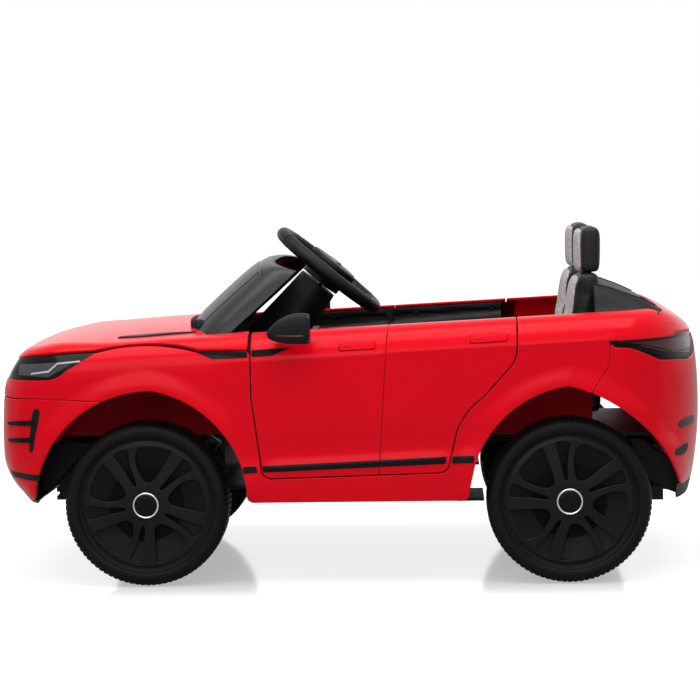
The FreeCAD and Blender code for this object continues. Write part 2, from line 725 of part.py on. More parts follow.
# Soft pads lie on a flat back, with drawn-in sides and a crowned face, lofted along their length
def crowned(length, width, depth, crown, draw):
    sections = []
    for along, taper in ((0, 1), (0.12, 0.3), (0.5, 0), (0.88, 0.3), (1, 1)):
        x = along * length
        half = width / 2 - draw * taper
        edge = (depth - crown) * (1 - 0.5 * taper)
        peak = edge + crown * (1 - 0.6 * taper)
        foot = min(draw, 0.45 * edge)
        a = Vector(x, foot - half, 0)
        b = Vector(x, half - foot, 0)
        c = Vector(x, half - foot / 2, edge)
        d = Vector(x, foot / 2 - half, edge)
        sections.append(Part.Wire([
            Part.makeLine(a, b),
            Part.Arc(b, Vector(x, half, edge * 0.55), c).toShape(),
            Part.Arc(c, Vector(x, 0, peak), d).toShape(),
            Part.Arc(d, Vector(x, -half, edge * 0.55), a).toShape()]))
    return Part.makeLoft(sections, True, False)


cushion_width = 2 * size("tub_rear_half") - 8
cushion = crowned(size("cushion_length"), cushion_width, size("cushion_thickness"), 8, 7)
soft_gap = size("running_gap")
cushion_rear = seat_front - 2 - size("cushion_length")
cushion.translate(Vector(cushion_rear, 0, size("seat_pan_height") + soft_gap))
keep("seat_cushion", feature(cushion))

# Seat backs: two hollow lobes with a neck below the head rest, joined low down
back_top = size("seat_back_top")
back_face = rear_x - 8
head_face = back_face - 14
back_rear = rear_x - 55
neck_low = 372
neck_high = 420
back_outline = side_wire((back_face, rear_deck_top), [
    (back_face, neck_low),
    ((back_face - 4, neck_low + 26), (head_face, neck_high)),
    (head_face, back_top - 12),
    ((head_face - 6, back_top - 3), (head_face - 18, back_top)),
    ((back_rear + 1, back_top - 4), (back_rear - 5, back_top - 14)),
    (back_rear, neck_low), (back_rear, rear_deck_top)])
lobe_inner = (size("seat_pitch") - size("seat_back_width")) / 2
lobe_outer = lobe_inner + size("seat_back_width")
seat_wall = size("seat_wall")
lobe = side_prism(back_outline, lobe_inner, lobe_outer)
lobe = lobe.makeFillet(7, [
    edge for edge in lobe.Edges if edge.BoundBox.YLength < 1 and edge.CenterOfMass.z > 230])
lobe_hollow = side_prism(grown(back_outline, -seat_wall), lobe_inner + seat_wall, lobe_outer - seat_wall)
lobe_mouth = block(
    back_rear + seat_wall, back_face - seat_wall, lobe_inner + seat_wall, lobe_outer - seat_wall,
    rear_deck_top - 1, rear_deck_top + 2 * seat_wall)
lobe = lobe.cut(Part.makeCompound([lobe_hollow, lobe_mouth]))
bridge = block(back_rear, back_rear + seat_wall, -lobe_inner - 2, lobe_inner + 2, rear_deck_top, 350)
keep("seat_back", feature(lobe.fuse(mirror_shape(lobe)).fuse(bridge).removeSplitter()))


def back_pad(height, width, depth, crown, draw, x, z_top):
    form = crowned(size(height), size(width), size(depth), crown, draw)
    seat_middle = size("seat_pitch") / 2
    form.Placement = Placement(Vector(x + soft_gap, seat_middle, z_top), Rotation(Vector(0, 1, 0), 90))
    return pair(feature(form))


pad_group = doc.addObject("Part::Compound", "pads")
pad_group.Links = [
    back_pad("back_pad_height", "back_pad_width", "back_pad_depth", 5, 4, back_face, neck_low - 8),
    back_pad("head_pad_height", "head_pad_width", "head_pad_depth", 4, 3, head_face, back_top - 17)]
keep("seat_back_pads", pad_group)

# Rear deck cover behind the seats, on two legs
deck_low = 380
deck_high = 411


def deck_ring(z, back, half):
    corners = [Vector(-360, half, z), Vector(back, half, z), Vector(back, -half, z), Vector(-360, -half, z)]
    return Part.makePolygon(corners + corners[:1])


deck_half = opening_half - 2
deck = Part.makeLoft([
    deck_ring(deck_low, deck_end + 2, deck_half), deck_ring(deck_high, -392, deck_half - 30)], True, True)
hollow = Part.makeLoft([
    deck_ring(deck_low - 3, deck_end + 5, deck_half - 3),
    deck_ring(deck_high - 3, -389, deck_half - 33)], True, True)
hollow.translate(Vector(-3, 0, 0))
hollow = hollow.common(block(deck_end + 5, -363, -half_width, half_width, 0, 500))
leg = block(-410, -380, 100, 124, rear_deck_top, deck_high - 2)
keep("rear_deck_cover", feature(deck.cut(hollow).fuse([leg, mirror_shape(leg)]).removeSplitter()))

# Door mirrors
mirror_out = half_width + 34
housing = block(64, 122, mirror_out - 28, mirror_out, 349, 393)
housing = housing.makeFillet(9, [edge for edge in housing.Edges if edge.CenterOfMass.x > 65])
mirror_foot = block(98, 114, opening_half + 10, mirror_out - 20, 353, 363).cut(outer_hull)
two_sides("mirror", housing.fuse(mirror_foot).removeSplitter())
two_sides("mirror_glass", block(62, 64, mirror_out - 24, mirror_out - 4, 354, 388))

# Wheels: one-piece moulded wheel and a pocketed cover, axis along Y, outer face to +Y
w = size("tyre_width") / 2
tread = size("tyre_radius")
rim = size("rim_radius")
bore = size("axle_radius") + size("running_gap")
groove = tread - size("tread_wall")
wheel_points = [
    (bore, -w), (24, -w), (24, 4), (rim - 12, 4), (rim - 12, -w), (rim - 8, -w), (rim - 8, w - 12),
    (groove, w - 12), (groove, -w + 14), (groove - 8, -w + 6), (groove - 8, -w), (tread - 10, -w),
    (tread - 3, -w + 5), (tread, -w + 12), (tread, w - 12), (tread - 3, w - 5), (tread - 10, w),
    (rim, w), (rim, w - 6), (rim - 12, w - 6), (rim - 12, 10), (24, 10), (24, w - 17), (bore, w - 17)]
face_low = w - 6
thick = size("cover_thickness")
cover_points = [(0, face_low), (rim - 0.3, face_low), (rim - 0.3, face_low + thick), (20, face_low + thick),
                (20, face_low + thick + 3), (0, face_low + thick + 3)]


def window(angle, r0, r1, w0, w1):
    c = math.cos(math.radians(angle))
    d = math.sin(math.radians(angle))
    corners = [(r0, -w0 / 2), (r1, -w1 / 2), (r1, w1 / 2), (r0, w0 / 2)]
    return [(r * c - e * d, r * d + e * c) for r, e in corners]


WHEELS = {
    "front_left": (FX, "wheel_track / 2", 0, 174),
    "front_right": (FX, "-wheel_track / 2", 180, 174),
    "rear_left": ("-" + FX, "wheel_track / 2", 0, 90),
    "rear_right": ("-" + FX, "-wheel_track / 2", 180, 90),
}
for corner_name, (wheel_x, wheel_y, turn, first) in WHEELS.items():
    wheel = turned_body(wheel_points)
    wheel.Placement = Placement(Vector(), Rotation(Vector(0, 0, 1), turn))
    keep(corner_name + "_wheel", locate(wheel, wheel_x, wheel_y, "tyre_radius"))
    cap = turned_body(cover_points)
    loops = []
    for step in range(5):
        loops.append(window(first + 72 * step, 0.31 * tread, 0.74 * tread, 0.20 * tread, 0.38 * tread))
        loops.append(window(first + 36 + 72 * step, 0.26 * tread, 0.71 * tread, 0.08 * tread, 0.17 * tread))
    holes = sketch_on(cap, "XZ_Plane", loops)
    pocket = cap.newObject("PartDesign::Pocket", "windows")
    pocket.Profile = holes
    pocket.Type = "ThroughAll"
    pocket.Reversed = False
    cap.Placement = Placement(Vector(), Rotation(Vector(0, 0, 1), turn))
    keep(corner_name + "_wheel_cover", locate(cap, wheel_x, wheel_y, "tyre_radius"))
doc.recompute()

# Rear axle, gearboxes with a gear pair each, motors
RX = "-wheelbase / 2"
keep("rear_axle", rod("axle_radius", "wheel_track + 58", RX, "-wheel_track / 2 - 29", "tyre_radius", "y"))
nut = cut(
    rod("axle_radius + 4", 6, RX, "wheel_track / 2 + 22.3", "tyre_radius", "y"),
    rod("axle_radius + 0.05", 20, RX, "wheel_track / 2 + 15", "tyre_radius", "y"))
keep("rear_axle_nuts", pair(nut))
module = size("gear_module")
gear_teeth = int(size("gear_teeth"))
pinion_teeth = int(size("pinion_teeth"))
spread = module * (gear_teeth + pinion_teeth) / 2
lift = 150
gear_at = Vector(rear_x, 0, axle_z)
pinion_at = gear_at + Vector(spread * math.cos(math.radians(lift)), 0, spread * math.sin(math.radians(lift)))
case_in = 101
case_out = 160
mesh_low = 125


def toothed(teeth, middle, phase, y0, y1):
    pitch = module * teeth / 2
    half_tooth = 0.86 * math.pi / (2 * teeth)
    points = []
    for tooth in range(teeth):
        aim = math.radians(phase) + 2 * math.pi * tooth / teeth
        corners = ((-1.5, -1.15), (-0.5, 0.9), (0.5, 0.9), (1.5, -1.15))
        for across, out in corners:
            reach = pitch + out * module
            angle = aim + across * half_tooth
            points.append(middle + Vector(reach * math.cos(angle), y0, reach * math.sin(angle)))
    return Part.Face(Part.makePolygon(points + points[:1])).extrude(Vector(0, y1 - y0, 0))


def hull_prism(extra, y0, y1):
    big = module * gear_teeth / 2 + module + 3 + extra
    small = module * pinion_teeth / 2 + module + 3 + extra
    aim = math.radians(lift)
    open_angle = math.acos((big - small) / spread)

    def at(middle, radius, angle):
        return middle + Vector(radius * math.cos(angle), y0, radius * math.sin(angle))
    a = at(gear_at, big, aim + open_angle)
    b = at(gear_at, big, aim + math.pi)
    c = at(gear_at, big, aim - open_angle)
    d = at(pinion_at, small, aim - open_angle)
    e = at(pinion_at, small, aim)
    f = at(pinion_at, small, aim + open_angle)
    wire = Part.Wire([
        Part.Arc(a, b, c).toShape(), Part.makeLine(c, d), Part.Arc(d, e, f).toShape(), Part.makeLine(f, a)])
    return Part.Face(wire).extrude(Vector(0, y1 - y0, 0))


def bar(middle, radius, y0, y1):
    return Part.makeCylinder(radius, y1 - y0, middle + Vector(0, y0, 0), Vector(0, 1, 0))


wall = size("case_wall")
case = hull_prism(wall, case_in, case_out).cut(hull_prism(0, case_in + wall, case_out - wall))
case = case.cut(bar(gear_at, size("axle_radius") + 0.05, case_in - 1, case_in + wall + 1))
case = case.cut(bar(gear_at, 15, case_out - wall - 1, case_out + 1))
case = case.cut(bar(pinion_at, 6, case_in - 1, case_in + wall + 1))
keep("gearbox_cases", pair(feature(case)))
mesh_high = mesh_low + size("gear_width")
wheel_inner = size("wheel_track") / 2 - w
gear = toothed(gear_teeth, gear_at, lift, mesh_low, mesh_high)
gear = gear.fuse(bar(gear_at, 14, case_in + wall + 2, wheel_inner))
gear = gear.cut(bar(gear_at, bore, 0, half_width))
two_sides("drive_gear", gear)
pinion = toothed(pinion_teeth, pinion_at, lift + 180 + 180 / pinion_teeth, mesh_low, mesh_high)
pinion = pinion.fuse(bar(pinion_at, 2.5, case_in - 11, mesh_high))
two_sides("motor_pinion", pinion.removeSplitter())
motor = bar(pinion_at, size("motor_radius"), case_in - size("motor_length"), case_in)
motor = motor.cut(bar(pinion_at, 2.5 + size("running_gap"), case_in - 12, case_in + 1))
keep("drive_motors", pair(feature(motor)))

# Battery and control box under the hood
keep("battery", slab(
    FX + " + 18", FX + " + 18 + battery_length", "-battery_width / 2", "battery_width / 2",
    DECK_TOP, DECK_TOP + " + battery_height"))
keep("control_box", slab(205, 235, 40, 110, 228, 288))

# Check and write
doc.recompute()
broken = [obj.Label for obj in doc.Objects if "Invalid" in obj.State or "Error" in obj.State]
if broken:
    raise RuntimeError("objects in error: %s" % broken)
os.makedirs("parts", exist_ok=True)
# Built from midway between the axles, written with the origin at the middle of the length
for label, obj in PARTS.items():
    shape = obj.Shape.copy()
    shape.translate(Vector(-size("middle_ahead"), 0, 0))
    if shape.isNull() or not shape.isValid() or not shape.Solids:
        raise RuntimeError("bad shape: %s" % label)
    shape.exportStep("parts/%s.step" % label)
print("parts", len(PARTS))
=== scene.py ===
import math
import bpy
import bmesh
import numpy as np
from mathutils import Matrix, Vector, kdtree
from mathutils.geometry import delaunay_2d_cdt


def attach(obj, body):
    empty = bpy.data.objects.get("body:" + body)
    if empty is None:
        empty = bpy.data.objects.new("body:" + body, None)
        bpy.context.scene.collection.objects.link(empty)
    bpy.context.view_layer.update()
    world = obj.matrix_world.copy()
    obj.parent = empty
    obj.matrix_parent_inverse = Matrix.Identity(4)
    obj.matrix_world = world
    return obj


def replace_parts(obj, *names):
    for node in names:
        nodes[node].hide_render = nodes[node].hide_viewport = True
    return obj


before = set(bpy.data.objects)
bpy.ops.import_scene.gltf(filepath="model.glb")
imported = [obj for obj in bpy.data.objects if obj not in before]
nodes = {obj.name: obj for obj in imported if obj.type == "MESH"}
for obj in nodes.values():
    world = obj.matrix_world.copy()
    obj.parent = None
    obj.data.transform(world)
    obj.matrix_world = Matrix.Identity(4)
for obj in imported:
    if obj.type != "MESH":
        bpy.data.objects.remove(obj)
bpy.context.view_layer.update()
scene = bpy.context.scene
MM = 0.001
# The forms below are given in millimetres from midway between the axles
MIDWAY = np.array([-9.26, 0.0, 0.0])
FLIP = np.array([1, -1, 1])
CHASSIS = ("chassis", "chassis")
DOORS = ("left_door", "right_door")
SIDES = (("left", 1), ("right", -1))

# View settings and camera at the photograph's angle
CAMERA_AT = (-0.12918, 3.5, 0.58652)
LENS_MM = 117.785
scene.view_settings.view_transform = "Standard"
yaw, pitch, roll = 0.03922, 0.07692, -0.01497
look = Vector((math.sin(yaw) * math.cos(pitch), -math.cos(yaw) * math.cos(pitch), -math.sin(pitch)))
right = look.cross(Vector((0, 0, 1))).normalized()
up = right.cross(look)
side_dir = right * math.cos(roll) + up * math.sin(roll)
up_dir = up * math.cos(roll) - right * math.sin(roll)
camera = bpy.data.objects.new("camera", bpy.data.cameras.new("camera"))
camera.data.lens = LENS_MM
camera.data.sensor_width = 36
camera.data.clip_end = 60
turn = Matrix((side_dir, up_dir, -look)).transposed().to_4x4()
camera.matrix_world = Matrix.Translation(CAMERA_AT) @ turn
scene.collection.objects.link(camera)
scene.camera = camera


# Materials
def feed(tree, node, inputs):
    """Links sockets to a node's inputs, and sets the inputs that have plain values."""
    for name, value in inputs.items():
        if isinstance(value, bpy.types.NodeSocket):
            tree.links.new(value, node.inputs[name])
        else:
            node.inputs[name].default_value = value


def add(tree, kind, output, inputs, **settings):
    node = tree.nodes.new("ShaderNode" + kind)
    for name, value in settings.items():
        setattr(node, name, value)
    feed(tree, node, inputs)
    return node.outputs[output]


def new_material(name):
    made = bpy.data.materials.new(name)
    made.use_nodes = True
    return made, made.node_tree, made.node_tree.nodes["Principled BSDF"]


def noise(tree, scale, detail=3.0):
    coords = add(tree, "TexCoord", "Object", {})
    return add(tree, "TexNoise", "Fac", {"Vector": coords, "Scale": scale, "Detail": detail})


def ramp(tree, value, low, high):
    node = tree.nodes.new("ShaderNodeValToRGB")
    for stop, position, color in zip(node.color_ramp.elements, (0.3, 0.7), (low, high)):
        stop.position = position
        stop.color = (*color, 1)
    feed(tree, node, {"Fac": value})
    return node.outputs["Color"]


def bump(tree, value, strength, distance):
    return add(tree, "Bump", "Normal", {"Strength": strength, "Distance": distance, "Height": value})


def moulded(name, color, rough, vary=0.08, grain=900, depth=0.12, cloud=14, spread=0.06, **sockets):
    """Plastic, paint or metal with clouded colour and gloss and a fine grain."""
    made, tree, shader = new_material(name)
    low = [c * (1 - vary) for c in color]
    high = [min(1, c * (1 + vary)) for c in color]
    gloss = {"Value": noise(tree, cloud * 3), "To Min": max(0.02, rough - spread), "To Max": rough + spread}
    feed(tree, shader, {
        "Base Color": ramp(tree, noise(tree, cloud), low, high), "Roughness": add(tree, "MapRange", "Result", gloss),
        "Normal": bump(tree, noise(tree, grain, 4.0), depth, 0.0004)})
    feed(tree, shader, {key.replace("_", " "): value for key, value in sockets.items()})
    return made


def woven(name, dark, light, scale):
    made, tree, shader = new_material(name)
    coords = add(tree, "TexCoord", "Object", {})
    thread = {"Vector": coords, "Scale": scale, "Distortion": 2.2, "Detail": 2.0, "Detail Scale": 3.0}
    warp, weft = (add(tree, "TexWave", "Fac", thread, bands_direction=axis) for axis in "YZ")
    weave = add(tree, "Math", 0, {0: warp, 1: weft}, operation="MAXIMUM")
    blotch = add(tree, "Math", 0, {0: weave, 1: noise(tree, 220, 4.0)}, operation="MULTIPLY")
    feed(tree, shader, {
        "Base Color": ramp(tree, blotch, dark, light), "Roughness": 0.9, "Sheen Weight": 0.25,
        "Normal": bump(tree, weave, 0.5, 0.0006)})
    return made


RED = moulded("red_gloss", (0.68, 0.0008, 0.010), 0.2, 0.03, 420, 0.02, 5, 0.03, Specular_IOR_Level=0.09,
              Sheen_Weight=0.14, Sheen_Roughness=0.35)
# the body red at about half its brightness: painted shade for the liners inside the wheel arches
SHADED_RED = moulded("red_liner_shaded", (0.36, 0.002, 0.008), 0.5, 0.12, 500, 0.1, 9, Specular_IOR_Level=0.1)
BLACK = moulded("black_satin", (0.006, 0.006, 0.007), 0.42, 0.25, 1300, 0.18, 20, Specular_IOR_Level=0.14)
GLOSS = moulded("black_gloss", (0.004, 0.004, 0.005), 0.12, 0.2, 500, 0.03, 10, 0.03, Specular_IOR_Level=0.1)
# a very dark red, painted shade: used for the sheets behind the seams and the lines round the handles
SEAM_SHADE = moulded("seam_shadow", (0.06, 0.0006, 0.001), 0.6, 0.2, 500, 0.1, 9, Specular_IOR_Level=0.05)
SCREEN = moulded("screen_black", (0.012, 0.012, 0.013), 0.34, 0.2, 900, 0.08, 8, 0.05, Specular_IOR_Level=0.3)
TYRE = moulded("tyre_black", (0.0045, 0.0045, 0.005), 0.5, 0.25, 700, 0.16, 16, Specular_IOR_Level=0.09)
COVER = moulded("cover_black", (0.006, 0.006, 0.007), 0.36, 0.25, 1000, 0.1, 18, Specular_IOR_Level=0.12)
# darker and rougher than the cover's black: painted shade in the cover's sunk pockets
POCKET_SHADE = moulded("pocket_shade_black", (0.002, 0.002, 0.002), 0.62, 0.25, 600, 0.15, 18, Specular_IOR_Level=0.05)
STEEL = moulded("zinc_steel", (0.20, 0.20, 0.20), 0.4, 0.15, 700, 0.1, 60, 0.1, Metallic=1.0)
SILVER = moulded("silver_trim", (0.62, 0.62, 0.62), 0.25, 0.08, 600, 0.05, 40, 0.05, Metallic=1.0)
GEAR = moulded("gear_nylon", (0.50, 0.47, 0.40), 0.5, 0.1, 500, 0.1, 30)
BATTERY = moulded("battery_case", (0.03, 0.03, 0.035), 0.5, 0.15, 400, 0.12, 20, Specular_IOR_Level=0.3)
BUTTON = moulded("button_grey", (0.30, 0.30, 0.31), 0.3, 0.1, 700, 0.05, 40)
GLASS = moulded("mirror_glass", (0.75, 0.77, 0.79), 0.06, 0.03, 200, 0.01, 10, 0.02, Metallic=1.0)
LEATHER = moulded("black_leatherette", (0.009, 0.009, 0.010), 0.46, 0.25, 420, 0.45, 25, Specular_IOR_Level=0.2)
LENS = moulded("clear_lens", (0.035, 0.037, 0.040), 0.10, 0.3, 300, 0.04, 30, 0.04, Specular_IOR_Level=0.35)
RED_LENS = moulded("red_lens", (0.045, 0.001, 0.003), 0.12, 0.3, 300, 0.05, 30, 0.04, Specular_IOR_Level=0.3)
LED = moulded("lamp_strip", (0.45, 0.46, 0.47), 0.3, 0.1, 700, 0.08, 60)
LINEN = woven("grey_linen", (0.36, 0.33, 0.32), (0.80, 0.74, 0.72), 420)


# Pieces, from vertices, faces and, for a skin, vertex normals
def piece(name, data, look_of, body):
    mesh = bpy.data.meshes.new(name)
    faces = [tuple(int(i) for i in face) for face in data[1]]
    mesh.from_pydata([tuple(v) for v in (np.asarray(data[0], float) + MIDWAY) * MM], [], faces)
    mesh.polygons.foreach_set("use_smooth", [True] * len(mesh.polygons))
    mesh.materials.append(look_of)
    if len(data) > 2:
        mesh.normals_split_custom_set_from_vertices([tuple(n) for n in data[2]])
    obj = bpy.data.objects.new(name, mesh)
    scene.collection.objects.link(obj)
    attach(obj, body)
    return obj


def mirrored(data):
    return (data[0] * FLIP, [face[::-1] for face in data[1]], *[n * FLIP for n in data[2:]])


def joined(*datas):
    faces, count = [], 0
    for data in datas:
        faces += [tuple(int(i) + count for i in face) for face in data[1]]
        count += len(data[0])
    normals = [np.vstack([data[2] for data in datas])] if len(datas[0]) > 2 else []
    return (np.vstack([data[0] for data in datas]), faces, *normals)


def pair(name, data, look_of, bodies):
    """A form on the left and its mirror image on the right."""
    forms = zip(("left", "right"), bodies, (data, mirrored(data)))
    return [piece(name + "_" + tag, form, look_of, rides) for tag, rides, form in forms]


def replace_pair(made, node):
    for obj, (tag, _) in zip(made, SIDES):
        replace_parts(obj, node + "_" + tag)


# Curves and outlines
def smin(a, b, k):
    h = np.maximum(k - np.abs(a - b), 0) / k
    return np.minimum(a, b) - h * h * k / 4


def step(low, high, x):
    t = np.clip((x - low) / (high - low), 0, 1)
    return t * t * (3 - 2 * t)


def unit(v, least=1e-12):
    return v / (np.linalg.norm(v, axis=-1)[..., None] + least)


def hermite(q, x, y):
    slope = np.diff(y) / np.diff(x)
    m = np.concatenate([[slope[0]], (slope[:-1] + slope[1:]) / 2, [slope[-1]]])
    q = np.clip(q, x[0], x[-1])
    i = np.clip(np.searchsorted(x, q) - 1, 0, len(x) - 2)
    w = x[i + 1] - x[i]
    t = (q - x[i]) / w
    a = (1 + 2 * t) * (1 - t) ** 2 * y[i] + t * (1 - t) ** 2 * w * m[i]
    return a + t * t * (3 - 2 * t) * y[i + 1] + t * t * (t - 1) * w * m[i + 1]


def arc(a, m, b, gap):
    """Points after a, as far as b, on the circle through a, m and b."""
    (mx, my), (bx, by) = m - a, b - a
    mm, bb = mx * mx + my * my, bx * bx + by * by
    c = a + np.array([by * mm - my * bb, mx * bb - bx * mm]) / (2 * (mx * by - bx * my))
    r = math.hypot(*(a - c))
    t0, tm, t1 = (math.atan2(p[1] - c[1], p[0] - c[0]) for p in (a, m, b))
    sweep = (t1 - t0) % (2 * math.pi)
    if (tm - t0) % (2 * math.pi) > sweep:
        sweep -= 2 * math.pi
    count = max(2, int(abs(sweep) * r / gap))
    turns = [t0 + sweep * k / count for k in range(1, count + 1)]
    return [c + r * np.array([math.cos(t), math.sin(t)]) for t in turns]


def run(a, b, gap=4.0):
    a, b = (np.asarray(p, float).reshape(2) for p in (a, b))
    count = max(1, int(math.hypot(*(b - a)) / gap))
    return np.array([a + (b - a) * t / count for t in range(count + 1)])


def legs(*points, gap=4.0):
    """Straight runs from point to point."""
    return np.vstack([run(a, b, gap) for a, b in zip(points[:-1], points[1:])])


def closed(points, gap=4.0):
    """Straight runs round a closed outline."""
    return np.vstack([run(a, b, gap)[:-1] for a, b in zip(points, np.roll(points, -1, 0))])


def path(start, *parts, gap=4.0):
    """Straight runs to points, and arcs through one point to the next."""
    points = [np.array(start, float)]
    for part in parts:
        if isinstance(part[0], tuple):
            points += arc(points[-1], *np.array(part, float), gap)
        else:
            points += list(run(points[-1], part, gap)[1:])
    return np.array(points)


def meet(line, p, q):
    """Splits a line where it meets the segment from p to q."""
    p, q = np.array(p, float), np.array(q, float)
    for i, (a, b) in enumerate(zip(line[:-1], line[1:])):
        m = np.array([b - a, p - q]).T
        if abs(np.linalg.det(m)) < 1e-9:
            continue
        t, u = np.linalg.solve(m, p - a)
        if 0 <= t <= 1 and 0 <= u <= 1:
            x = a + t * (b - a)
            return np.vstack([line[:i + 1], x]), np.vstack([x, line[i + 1:]])
    raise ValueError("lines do not meet")


def clean(loop, least=0.8):
    kept = [loop[0]]
    for p in loop[1:]:
        if math.hypot(*(p - kept[-1])) > least:
            kept.append(p)
    if math.hypot(*(kept[0] - kept[-1])) <= least:
        kept.pop()
    return np.array(kept)


def chain(*parts):
    return clean(np.vstack(parts))


def signed_area(loop):
    x, y = loop[:, 0], loop[:, 1]
    return 0.5 * np.sum(x * np.roll(y, -1) - np.roll(x, -1) * y)


def wound(loop, hole=False):
    """The outline turned anticlockwise, or clockwise for a hole."""
    return loop[::-1] if (signed_area(loop) > 0) == hole else loop


def outward(loop):
    tangent = unit(np.roll(loop, -1, 0) - np.roll(loop, 1, 0), 1e-9)
    return np.stack([tangent[:, 1], -tangent[:, 0]], 1)


def grow(loop, amount):
    edge = unit(np.roll(loop, -1, 0) - loop, 1e-9)
    n1 = np.stack([edge[:, 1], -edge[:, 0]], 1)
    both = np.roll(n1, 1, 0) + n1
    size = np.maximum((both ** 2).sum(1), 0.6)
    return loop + amount * 2 * both / size[:, None]


def smooth_loop(points, gap=2.0, rounds=3):
    """A closed outline with its corners cut, at even steps."""
    points = np.asarray(points, float)
    for _ in range(rounds):
        ahead = np.roll(points, -1, 0)
        points = np.stack([0.75 * points + 0.25 * ahead, 0.25 * points + 0.75 * ahead], 1).reshape(-1, 2)
    whole = np.vstack([points, points[:1]])
    run_of = np.concatenate([[0], np.cumsum(np.hypot(*np.diff(whole, axis=0).T))])
    at = np.linspace(0, run_of[-1], max(8, int(run_of[-1] / gap)), endpoint=False)
    return np.stack([np.interp(at, run_of, whole[:, 0]), np.interp(at, run_of, whole[:, 1])], 1)


def at_y(loop, y):
    return np.stack([loop[:, 0], np.full(len(loop), y), loop[:, 1]], 1)


# Skins on a surface of two parameters
def normals_of(surface, u, v, e=0.6):
    along = surface(u + e, v) - surface(u - e, v)
    return unit(np.cross(along, surface(u, v + e) - surface(u, v - e)))


def quads(rows, columns, wrap=True, flip=False):
    """Faces of a grid of vertices."""
    faces = []
    for j in range(rows - 1):
        for i in range(columns if wrap else columns - 1):
            k = (i + 1) % columns
            a, b, c, d = j * columns + i, j * columns + k, (j + 1) * columns + k, (j + 1) * columns + i
            faces.append((a, d, c, b) if flip else (a, b, c, d))
    return faces


def inside(points, loops):
    hit = np.zeros(len(points), bool)
    for loop in loops:
        for (a, b), (c, d) in zip(loop, np.roll(loop, -1, 0)):
            if b == d:
                continue
            cross = (b > points[:, 1]) != (d > points[:, 1])
            hit ^= cross & (points[:, 0] < (c - a) * (points[:, 1] - b) / (d - b) + a)
    return hit


def fill(loops, grid):
    """Triangles between outlines, over an even field of points."""
    rim = np.vstack(loops)
    low, high = rim.min(0), rim.max(0)
    rows = []
    for j, v in enumerate(np.arange(low[1] + grid / 2, high[1], grid * 0.87)):
        u = np.arange(low[0] + grid * (0.5 if j % 2 else 0.0), high[0], grid)
        rows.append(np.stack([u, np.full_like(u, v)], 1))
    inner = np.vstack(rows)
    inner = inner[inside(inner, loops)]
    tree = kdtree.KDTree(len(rim))
    for i, p in enumerate(rim):
        tree.insert((p[0], p[1], 0), i)
    tree.balance()
    inner = np.array([p for p in inner if tree.find((p[0], p[1], 0))[2] > 0.5 * grid]).reshape(-1, 2)
    edges, spans, first = [], [], 0
    for loop in loops:
        span = list(range(first, first + len(loop)))
        edges += list(zip(span, span[1:] + span[:1]))
        spans.append(span)
        first += len(loop)
    points = [Vector(p) for p in np.vstack([rim, inner])]
    out, _, faces, origin, _, _ = delaunay_2d_cdt(points, edges, [], 0, 1e-6)
    out = np.array([(p.x, p.y) for p in out])
    where = {source: i for i, sources in enumerate(origin) for source in sources}
    faces = np.array([f for f in faces if len(f) == 3])
    faces = faces[inside(out[faces].mean(1), loops)]
    return out, faces, [[where[i] for i in span] for span in spans]


# Steps round a moulded edge: share of its width outward and downward, and turn; None is the full wall
EDGE_STEPS = ((0.38, 0.08, 25), (0.72, 0.30, 50), (0.93, 0.62, 72), (1.0, 1.0, 90), (1.0, None, 90))


def sheet(surface, loops, grid=5.0, edge=1.4, thick=3.0, gap=1.2, lift=0.0, back=True, sign=None):
    """A moulded skin on a surface: face, rounded edges, wall and back, with the normals of the surface."""
    made = []
    for i, loop in enumerate(loops):
        loop = wound(clean(np.asarray(loop, float)), i > 0)
        made.append(clean(grow(loop, -(gap / 2 + edge)), 0.4))
    flat, tris, rings = fill(made, grid)
    sign = sign or (-1.0 if surface is body else 1.0)

    def at(q):
        return surface(q[:, 0], q[:, 1])

    n = sign * normals_of(surface, flat[:, 0], flat[:, 1])
    verts, norms = [at(flat) + lift * n], [n]
    faces = [tuple(t) for t in tris]
    size = len(flat)
    if back:
        verts.append(at(flat) + (lift - thick) * n)
        norms.append(-n)
        faces += [(t[0] + size, t[2] + size, t[1] + size) for t in tris]
    count = size * len(verts)
    for loop, ring in zip(made, rings):
        out2 = outward(loop)
        top = np.array(ring)
        base, nb = flat[top], n[top]
        away = unit(at(base + 0.5 * out2) - at(base))
        bands = [top]
        for out, down, angle in EDGE_STEPS:
            depth = thick if down is None else down * edge
            verts.append(at(base + edge * out * out2) + (lift - depth) * nb)
            norms.append(nb * math.cos(math.radians(angle)) + away * math.sin(math.radians(angle)))
            bands.append(np.arange(count, count + len(top)))
            count += len(top)
        if back:
            bands.append(top + size)
        for a, b in zip(bands[:-1], bands[1:]):
            faces += list(zip(a, b, np.roll(b, -1), np.roll(a, -1)))
    if sign < 0:
        faces = [f[::-1] for f in faces]
    return np.vstack(verts), faces, np.vstack(norms)


# Body surface: raked waterlines as height, side, nose and tail insets, over a corner plan
LEVELS = np.array([
    (60, 34, 100, 30), (90, 22, 84, 15), (125, 14, 56, 7), (165, 8, 17, 2), (195, 10, 2, 0), (230, 5, 0, 0),
    (280, 1.5, 2, 3), (318, 0, 6, 9), (336, 1.5, 10, 14), (352, 7, 18, 22), (366, 16, 28, 32), (378, 29, 42, 46),
    (392, 52, 66, 70), (408, 88, 100, 104), (440, 180, 196, 200)], float)
NOSE, TAIL, HALF_W, RAKE = 525.0, -507.0, 286.0, 0.047
FRONT_S, REAR_S = 252.0, -360.0
NOSE_POWER, TAIL_POWER = 5.5, 2.4
